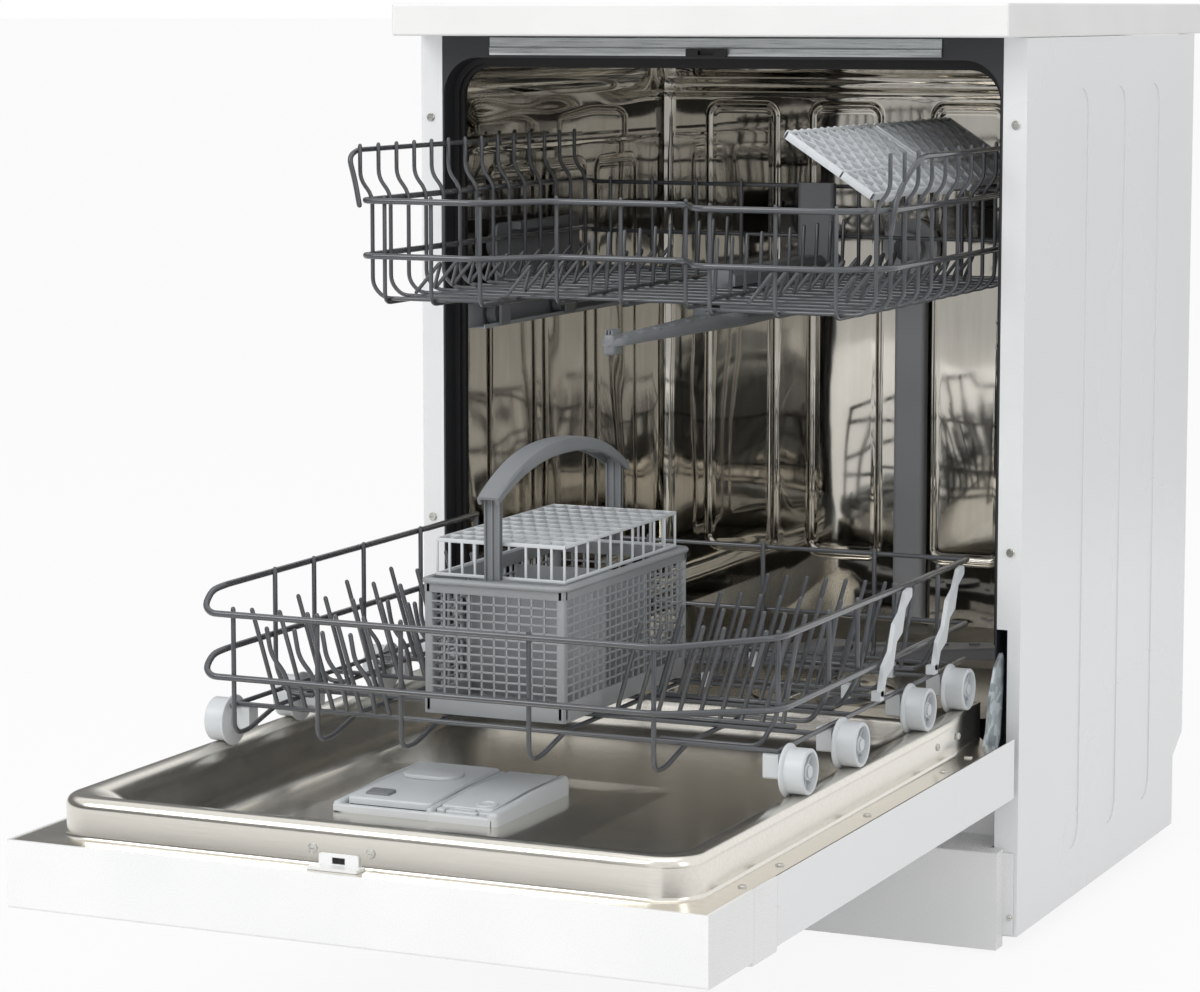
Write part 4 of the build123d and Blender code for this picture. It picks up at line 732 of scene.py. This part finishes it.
def upperWires(r):
    # two heavy front rails with a set-back middle, side wires in an S every pitch, bottom wires and short tines
    front, rear, setback, rim = r["front"], r["rear"], r["setback"], r["rim"]
    high, low, bottom = r["railHigh"], r["railLow"], r["bottom"]
    wires = []
    for z in (high, low):
        half = r["lowerHalf"] + 4.7
        bay = [(x, y, z) for x, y in zip(r["bayX"], (front, setback, setback, front, front))]
        points = [(-half, rear, z), (-half, front, z)] + bay + [(half, front + 36, z), (half, rear, z)]
        wires.append(bent(points, 12.0, r["thick"], 12))
        wires.append(straight((-half, rear + 4.6, z - 4), (half, rear + 4.6, z - 4), r["crossGauge"]))
    x = r["half"] + 4.6
    points = ((11 - x, front - 2, high - 4), (5 - x, front + 2, r["curlLow"]), (-x, front, r["curlHigh"]),
              (-x, front + 14, rim), (-x, rear, rim))
    wires.append(bent(points, 10.0, r["rimGauge"], 12))
    points = ((x - 11, front + 32, low + 30), (x - 7, front + 36, r["curlLow"] - 2), (x - 1, front + 74, rim),
              (x, front + 114, rim), (x, rear, rim))
    wires.append(bent(points, 24.0, r["rimGauge"], 12))
    for index in range(r["sideCount"]):
        y = front + 12 + r["pitch"] * index
        halves = []
        for side in (-1, 1):
            upper = side * r["half"]
            lower = side * r["lowerHalf"]
            halves.append(((upper, y, rim + 4), (upper, y, r["neckHigh"]), (lower, y, r["neckLow"]),
                           (lower, y, r["neckFoot"]), (lower - side * 11, y, bottom)))
        if y < setback + 4:
            runs = [half + ((end, y, bottom),) for half, end in zip(halves, r["stubEnds"])]
        else:
            runs = (halves[0] + halves[1][::-1],)
        wires += [bent(run, r["sideBend"], r["sideGauge"]) for run in runs]
    for x in r["longX"]:
        y = (setback if -100 < x < 60 else front) + 4.6
        points = ((x, y, high + 3), (x, y, bottom - 3.7), (x, rear, bottom - 3.7), (x, rear, high))
        wires.append(bent(points, 10.0, r["sideGauge"]))
    for x in r["tineX"]:
        for y in -140.0 + r["pitch"] * np.arange(10):
            wires.append(straight((x, y, bottom + 1.5), (x, y + 6, r["tineTop"]), r["tineGauge"]))
        wires.append(straight((x, -146, bottom + 3.4), (x, 182, bottom + 3.4), r["tineGauge"]))
    for x in r["waveX"]:
        odd = np.arange(21) % 2
        points = np.stack([x + 16.0 * odd - 8.0, -190.0 + r["pitch"] / 2 * np.arange(21),
                           np.where(odd, r["waveTop"], bottom + 4.0)], -1)
        wires.append(bent(points, 5.0, r["waveGauge"]))
    return wires


addPiece("upperRackWires", upperWires(upperRack), "coated_wire", "upper_rack", ("upper_rack_frame",), 60.0)
print("upper rack made")


dispenserSizes = {"left": -127.0, "right": 24.0, "front": -506.0, "rear": -364.0, "foot": 186.05, "deck": 195.0,
                  "hood": 201.0, "rise": 4.0, "split": -40.0, "inset": 0.2, "flapGap": 10.8,
                  "well": (-117.0, -44.0, -493.0, -368.0, 195.05, 196.4, 3.0, 0.3)}


def roundedSlab(x0, x1, y0, y1, z0, z1, corner, soft):
    # a pad: the plan loop drawn in by soft (1 - cos w) while it rises by soft sin w
    w = np.linspace(0, np.pi / 2, 6)
    inset = np.concatenate([[0.0], soft * (1 - np.cos(w))])
    height = np.concatenate([[z0], z1 - soft + soft * np.sin(w)])
    loops = []
    for d, z in zip(inset, height):
        radius = max(corner - d, 0.05)
        loops.append(atHeight(loopOutline(x0 + d, x1 - d, y0 + d, y1 - d, radius, radius, 8, 8), z))
    return capped(loops)


def raised(part, s):
    # the hood climbs towards the hinge end by rise times a smooth step in y, scaled by the height over the tray
    points, faces = part
    points = np.array(points, float)
    share = np.clip((points[:, 2] - s["deck"]) / (s["hood"] - s["deck"]), 0, 1.4)
    points[:, 2] += s["rise"] * share * smoothStep(points[:, 1], s["front"], s["front"] + 80)
    return points, faces


def dispenserBody(s):
    # the tray itself is level, so the lid can slide over it, and it stands a little in from the walls around it
    left, right, front, rear = s["left"], s["right"], s["front"], s["rear"]
    deck, hood, split = s["deck"], s["hood"], s["split"]
    inset = s["inset"]
    tray = roundedSlab(left + inset, right - inset, front + inset, rear - inset, s["foot"], deck, 12.0, 2.0)
    flapLeft = split + 5.8
    flapRight = right - s["flapGap"]
    tabLeft = split + 14.5
    tabRight = flapRight - 10.5
    # three walls and two sills round the tray, the flap over the rinse aid and the tab that opens it
    slabs = (
        (left, left + 7, front + 3, rear, deck - 3, hood - 2, 3.4, 2.0),
        (left + 1, split + 4, front, front + 6, deck - 3, deck + 2.5, 2.8, 1.6),
        (split, split + 5, front + 1, rear, deck - 3, hood, 2.3, 1.2),
        (right - 10, right, front, rear, deck - 5, hood + 1, 4.6, 3.0),
        (split + 1, right - 1, front, front + 7, deck - 5, deck + 3, 3.2, 2.4),
        (flapLeft, flapRight, front + 16, rear + 1, deck - 1, hood + 0.2, 4.0, 1.2),
        (flapLeft, split + 13, front + 8, front + 18, deck - 1, hood - 1, 1.5, 1.0),
        (flapRight - 9, flapRight, front + 8, front + 18, deck - 1, hood - 1, 1.5, 1.0),
        (tabLeft, tabRight, front + 7.4, front + 12, deck + 1, hood - 1.5, 1.6, 1.2),
        (tabLeft + 1, tabRight - 1, front + 12, front + 17, deck - 1, hood - 3, 1.6, 1.0),
    )
    parts = [roundedSlab(*slab) for slab in slabs]
    parts.append(bar(tabLeft + 4, tabRight - 4, front + 13, front + 16, hood - 4, hood - 0.6, 0.8))
    return [tray] + [raised(part, s) for part in parts]


def dispenserLid(s):
    # a plate on a thinner one, with an oval pad
    left, right, front, rear = s["left"] + 9, s["split"] - 0.8, s["front"] + 11, s["rear"] + 1.5
    deck, hood = s["deck"], s["hood"]
    oval = roundedSlab(-26.0, 26.0, -17.0, 17.0, -1.0, 0.7, 16.0, 0.7)
    parts = [roundedSlab(left, right, front, rear, deck + 1.6, hood + 1.2, 5.0, 1.8),
             roundedSlab(left + 2, right - 2.2, front + 2, rear - 0.5, deck + 0.5, deck + 3, 4.0, 0.5),
             moved(oval, (s["left"] + 44, s["rear"] - 42, hood + 1.2))]
    return [raised(part, s) for part in parts]


def dispenserButton(s):
    x = s["left"] + 20
    y = s["front"] + 22
    parts = [roundedSlab(x, x + 22, y, y + 15, s["hood"] - 1, s["hood"] + 2.4, 2.0, 0.8),
             bar(x + 7, x + 15, y + 6.6, y + 8.4, s["hood"] + 2, s["hood"] + 3, 0.4)]
    return [raised(part, s) for part in parts]


addPiece("dispenserBody", dispenserBody(dispenserSizes), "light_grey_plastic", "door", ("dispenser_body",))
addPiece("dispenserLid", dispenserLid(dispenserSizes), "light_grey_plastic", "soap_lid", ("dispenser_lid",))
addPiece("dispenserButton", dispenserButton(dispenserSizes), "grey_plastic", "soap_lid")
well = raised(roundedSlab(*dispenserSizes["well"]), dispenserSizes)
addPiece("dispenserWell", [well], "black_plastic", "door")
capSizes = {"x": 2.0, "y": -478.0, "z": 200.4,
            "profile": ((0.01, 0), (8.8, 0), (9.0, 1.2), (8.3, 1.9), (6.2, 1.9), (5.6, 1.2), (0.01, 1.0))}
cap = moved(spun(capSizes["profile"], 40), (capSizes["x"], capSizes["y"], capSizes["z"]))
addPiece("rinseCap", [raised(cap, dispenserSizes)], "light_grey_plastic", "rinse_plug", ("rinse_cap",))
print("dispenser made")


basketSizes = {
    "left": -74.0, "right": 54.0, "front": -440.0, "rear": -186.0, "bottom": 266.0, "rim": 379.0,
    "band": 16.0, "topBand": 12.0, "strip": 1.7, "depth": 2.2, "corner": 7.0, "post": 4.2,
    "crossY": (-355.0, -270.0), "cellsWide": 10, "cellsLong": 20, "cellsHigh": 12,
}


def openWall(s, length, cells):
    # upright strips at x = i p and level strips at z = low + j q make the lattice of one basket wall
    height = s["rim"] - s["bottom"]
    low = s["band"]
    high = height - s["topBand"]
    inner = length / 2 - s["corner"]
    strip = s["strip"] / 2
    deep = s["depth"] / 2
    parts = []
    for x in -inner + 2 * inner / cells * np.arange(1, cells):
        parts.append(post(x, 0, strip, deep, low - 1, high + 1, 0.4))
    for z in low + (high - low) / s["cellsHigh"] * np.arange(1, s["cellsHigh"]):
        parts.append(bar(-inner - 1, inner + 1, -deep, deep - 0.5, z - strip, z + strip, 0.4))
    for foot, top in ((0, low), (high, height)):
        parts.append(bar(1 - length / 2, length / 2 - 1, -deep - 0.3, deep + 0.3, foot, top, 0.6))
    return parts


def basketParts(s):
    # four open walls with posts at their corners, two cross walls, a floor grid and a rolled rim
    left, right, front, rear, bottom, rim = s["left"], s["right"], s["front"], s["rear"], s["bottom"], s["rim"]
    width = right - left
    length = rear - front
    x0 = (left + right) / 2
    y0 = (front + rear) / 2
    parts = []
    for side in (-1, 1):
        for part in openWall(s, width, s["cellsWide"]):
            parts.append(moved(part, (x0, y0 + side * (length / 2 - 1.2), bottom)))
        for part in openWall(s, length, s["cellsLong"]):
            parts.append(turned(part, about("z", 90), (x0 + side * (width / 2 - 1.2), y0, bottom)))
        for end in (-1, 1):
            x = x0 + side * (width / 2 - 4)
            y = y0 + end * (length / 2 - 4)
            parts.append(post(x, y, s["post"], s["post"], bottom, rim, 3.0))
    for y in s["crossY"]:
        parts.append(bar(left + 1.5, right - 1.5, y - 1, y + 1, bottom, rim - 12, 0.4))
    for x in left + 6 + (width - 12) / 10 * np.arange(11):
        parts.append(bar(x - 1.2, x + 1.2, front + 2, rear - 2, bottom, bottom + 2.4, 0.4))
    for y in front + 6 + (length - 12) / 20 * np.arange(21):
        parts.append(bar(left + 2, right - 2, y - 1.2, y + 1.2, bottom + 0.2, bottom + 2.2, 0.4))
    rolled = []
    for w in np.linspace(0, 2 * np.pi, 12, endpoint=False):
        out = 1.0 + 3.0 * np.cos(w)
        loop = loopOutline(left - out, right + out, front - out, rear + out, 8 + out, 8 + out, 6, 2)
        rolled.append(atHeight(loop, rim - 2.5 + 2.5 * np.sin(w)))
    parts.append((np.vstack(rolled), gridFaces(12, len(rolled[0]), True, True)))
    return parts


def basketLid(s):
    # an open grid on legs, 10 cells by 10
    x0 = s["left"] + 5
    x1 = s["right"] - 5
    y0 = s["front"] + 12
    y1 = s["rear"] - 12
    low = s["rim"] + 0.4
    high = s["rim"] + 32.0
    placesX = np.linspace(x0 + 1, x1 - 1, 11)
    placesY = np.linspace(y0 + 1, y1 - 1, 11)
    parts = [bar(x - 0.9, x + 0.9, y0, y1, high - 3.2, high, 0.5) for x in placesX]
    parts += [bar(x0, x1, y - 1.1, y + 1.1, high - 3.6, high - 0.2, 0.5) for y in placesY]
    for x in (x0 + 1, x1 - 1):
        parts += [post(x, y, 1, 1, low, high - 1, 0.5) for y in placesY]
        parts.append(bar(x - 1.2, x + 1.2, y0, y1, low, low + 2.6, 0.5))
    for y in (y0 + 1, y1 - 1):
        parts += [post(x, y, 1, 1, low, high - 1, 0.5) for x in placesX[[1, 2, 3, 7, 8, 9]]]
        parts.append(bar(x0, x1, y - 1.2, y + 1.2, low, low + 2.6, 0.5))
    return parts


addPiece("cutleryBasket", basketParts(basketSizes), "basket_plastic", "cutlery", ("cutlery_basket",))
addPiece("cutleryLid", basketLid(basketSizes), "light_grey_plastic", "cutlery_cover", ("cutlery_lid",))


handleSizes = {
    "x": -13.0, "front": -434.0, "rear": -192.0, "foot": 379.4, "shoulder": 446.0, "top": 478.0, "width": 22.0,
    "deep": 6.0, "thinning": 2.2, "grooves": 21,
    "section": ((-1, 0.55), (-0.86, 0.9), (-0.5, 1.0), (0.5, 1.0), (0.86, 0.9), (1, 0.55), (1, -0.8), (0.9, -1.0),
                (0.72, -0.95), (0.7, 0.35), (-0.7, 0.35), (-0.72, -0.95), (-0.9, -1.0), (-1, -0.8)),
}


def handleParts(s):
    # the bow is a U section carried along an arch z = top - (top - shoulder) |u|^2.3, thinner towards its ends
    x, foot, shoulder = s["x"], s["foot"], s["shoulder"]
    half = (s["rear"] - s["front"]) / 2 + 10
    middle = (s["rear"] + s["front"]) / 2

    def arch(u):
        return s["top"] - (s["top"] - shoulder) * np.abs(u) ** 2.3

    u = np.linspace(-1, 1, 49)
    path = np.stack([np.full_like(u, x), middle + u * half, arch(u)], -1)
    tangent = unit(np.gradient(path, axis=0))
    up = np.cross(tangent, np.array([-1.0, 0.0, 0.0]))
    up = up * np.sign(up[:, 2:3])
    wide = s["width"] / 2 - 1.5 * np.abs(u) ** 4
    deep = s["deep"] - s["thinning"] * np.abs(u) ** 2
    across, high = np.array(s["section"]).T
    ring = (path[:, None] + (across[None] * wide[:, None])[..., None] * np.array([1.0, 0.0, 0.0])
            + (high[None] * deep[:, None])[..., None] * up[:, None])
    parts = [capped(ring)]
    # finger grooves under the bow and the two legs that slide in the basket's corner guides
    for share in np.linspace(-0.62, 0.62, s["grooves"]):
        y = middle + share * half
        z = arch(share)
        parts.append(post(x, y, 9.6, 1.2, z - 4.5, z + 2.5, 0.8))
    for y in (s["front"], s["rear"]):
        parts.append(post(x, y, 7, 1.5, foot, shoulder + 8, 0.8))
        parts.append(post(x, y, 1, 3.4, foot, shoulder + 4, 0.8))
        parts += [post(edge, y, 0.8, 3.4, foot, shoulder + 4, 0.6) for edge in (x - 6.2, x + 6.2)]
    return parts


addPiece("cutleryHandle", handleParts(handleSizes), "basket_plastic", "cutlery", ("cutlery_handle",),
         finish="grey_plastic")
print("cutlery basket made")


shelfSizes = {"hingeX": 226.0, "hingeZ": 684.0, "depth": 96.0, "length": 208.0, "tilt": 33.0, "rib": 2.4,
              "pitch": 23.0, "height": 6.0, "pipPitch": 16.0, "clipY": (34.0, 174.0)}


def cupShelf(s, start):
    # strips on two diagonals, x + y = i p and x - y = i p, clipped to the frame
    depth, length, high = s["depth"], s["length"], s["height"]
    parts = []
    for turn in (-1, 1):
        for offset in np.arange(-depth, length, s["pitch"]):
            near = max(0.0, -offset)
            far = min(depth, length - offset)
            if far - near < 6:
                continue
            ends = np.array([[-near, offset + near], [-far, offset + far]])
            if turn < 0:
                ends[:, 1] = length - ends[:, 1]
            run = np.linalg.norm(ends[1] - ends[0])
            angle = math.degrees(math.atan2(ends[1, 1] - ends[0, 1], ends[1, 0] - ends[0, 0]))
            strip = post(run / 2, 0, run / 2 - 0.5, s["rib"] / 2, 0.2, high + 0.4, 0.5)
            parts.append(turned(strip, about("z", angle), (ends[0, 0], ends[0, 1], 0.0)))
    # a thin web closes the diamonds
    parts.append(bar(0.6 - depth, -0.6, 0.6, length - 0.6, 0.3, 1.3, 0.3))
    parts += [bar(-depth, 0, y, y + 3, 0, high + 1, 0.8) for y in (0, length - 3)]
    parts += [bar(x, x + 3, 0, length, 0, high + 1, 0.8) for x in (-depth, -3, -depth * 0.36 - 1.5)]
    # the free edge carries a row of low pips for the cup rims, the other one its two clips
    for y in np.arange(10.0, length - 4, s["pipPitch"]):
        parts.append(bar(-depth - 3, 1.5 - depth, y - 2.5, y + 2.5, 0.5, high, 1.0))
    for y in s["clipY"]:
        parts.append(bar(-2, 5, y - 9, y + 9, 0, 7, 1.5))
    return [turned(part, about("y", s["tilt"]), (s["hingeX"], start, s["hingeZ"])) for part in parts]


for place, start in (("Front", -196.0), ("Rear", 20.0)):
    node = "cup_shelf_" + place.lower()
    addPiece("cupShelf" + place, cupShelf(shelfSizes, start), "light_grey_plastic", node, (node,))


wheelSizes = {"axle": 3.06, "tread": 18.5, "flange": 21.5, "x": 258.9, "z": 246.55,
              "y": (-446.0, -328.0, -162.0, -57.0)}


def wheelParts(s, side, y):
    # a tread with an inner flange, a web set back from the outer rim, a hub and eight spokes
    axle, tread, flange = s["axle"], s["tread"], s["flange"]
    profile = ((axle, -8), (flange - 0.8, -8), (flange, -7.4), (flange, -6.2), (flange - 0.6, -5.4), (tread, -4.2),
               (tread, 11.2), (tread - 0.8, 12), (15.6, 12), (15.2, 11.4), (15.2, 2.0), (14.6, 1.4), (7.4, 1.4),
               (6.8, 2.0), (6.8, 9.4), (6.2, 10), (axle, 10))
    spoke = bar(6.4, 15.6, -0.8, 0.8, 1.0, 8.0, 0.4)
    parts = [spun(profile, 48)] + [turned(spoke, about("z", 45 * index), (0, 0, 0)) for index in range(8)]
    return [turned(part, about("y", side * 90), (side * s["x"], y, s["z"])) for part in parts]


for number, y in enumerate(wheelSizes["y"], 1):
    for side, word in ((-1, "left"), (1, "right")):
        node = "wheel_" + word + "_" + str(number)
        addPiece("wheel" + word.capitalize() + str(number), wheelParts(wheelSizes, side, y), "light_grey_plastic",
                 node + "_body", (node,))


armSizes = {"x": 5.0, "y": 8.0, "z": 556.0, "reach": 246.0, "hub": 28.0, "tip": 11.0, "thick": 11.0, "turn": -91.0,
            "firstJet": 52.0, "jetPitch": 34.0, "jetCount": 6,
            "jet": ((1.6, 0), (4.6, 0), (4.2, 2.6), (2.2, 3.0), (1.6, 2.4)),
            "boss": ((4, 4), (25, 4), (25.5, 14), (24, 16.5), (12, 17), (10, 15), (4, 15))}


def armParts(s):
    # half width b(u) = tip + (hub - tip)(1 - |u|)^1.5, the section a half ellipse of height h(u), closed below
    u = np.linspace(-1, 1, 61)[:, None]
    end = np.sqrt(np.clip(1 - ((np.abs(u) - 0.93) / 0.07).clip(0, 1) ** 2, 0.02, 1))
    b = (s["tip"] + (s["hub"] - s["tip"]) * (1 - np.abs(u)) ** 1.5) * end
    h = (s["thick"] - 3.0 * np.abs(u)) * (0.35 + 0.65 * end)
    w = np.linspace(0, np.pi, 13)
    y = np.concatenate([np.cos(w), [-0.9, 0.9]])
    z = np.concatenate([0.25 + 0.75 * np.sin(w) ** 0.6, [0.0, 0.0]])
    parts = [capped(np.stack([u * s["reach"] + 0 * y, y * b, z * h], -1))]
    for index in range(s["jetCount"]):
        top = s["thick"] - 0.4 * index
        for side in (-1, 1):
            x = side * (s["firstJet"] + s["jetPitch"] * index)
            y = side * 5
            parts.append(turned(spun(s["jet"], 20), about("x", -side * 12), (x, y, top - 2.6)))
            parts.append(post(x, y, 6, 3.2, s["thick"] - 5, top - 1.2, 1.2))
    parts.append(spun(s["boss"], 48))
    for side in (-1, 1):
        x = side * (s["reach"] - 12)
        parts.append(post(x, 0, 10, 5, -8, 10, 2.5))
        parts += [post(x, fin, 9, 0.7, 9, 14, 0.5) for fin in (-3, 0, 3)]
    return [turned(part, about("z", s["turn"]), (s["x"], s["y"], s["z"])) for part in parts]


addPiece("upperSprayArm", armParts(armSizes), "grey_plastic", "upper_arm", ("upper_spray_arm",), 45.0)


strikeSlotShadeSizes = {"left": -19.7, "right": -9.3, "front": -700.9, "rear": -699.7, "foot": 199.3, "top": 203.7}


def strikeSlotShadeParts(s):
    # a black plate with two ribs in the strike's slot: painted shade, a dark sheet that stands for the slot's shaded
    # hollow
    parts = [bar(s["left"], s["right"], s["front"] + 0.4, s["rear"], s["foot"], s["top"], 0.25)]
    for x in (s["left"] + 2.0, s["right"] - 3.0):
        parts.append(bar(x, x + 1.0, s["front"], s["rear"], s["foot"] + 0.4, s["top"] - 0.4, 0.2))
    return parts


# the black plate is painted shade in the strike's slot, carried by the door
addPiece("strikeSlotShade", strikeSlotShadeParts(strikeSlotShadeSizes), "black_plastic", "door", (), 35.0)
print("shelves, wheels, spray arm and tongue made")
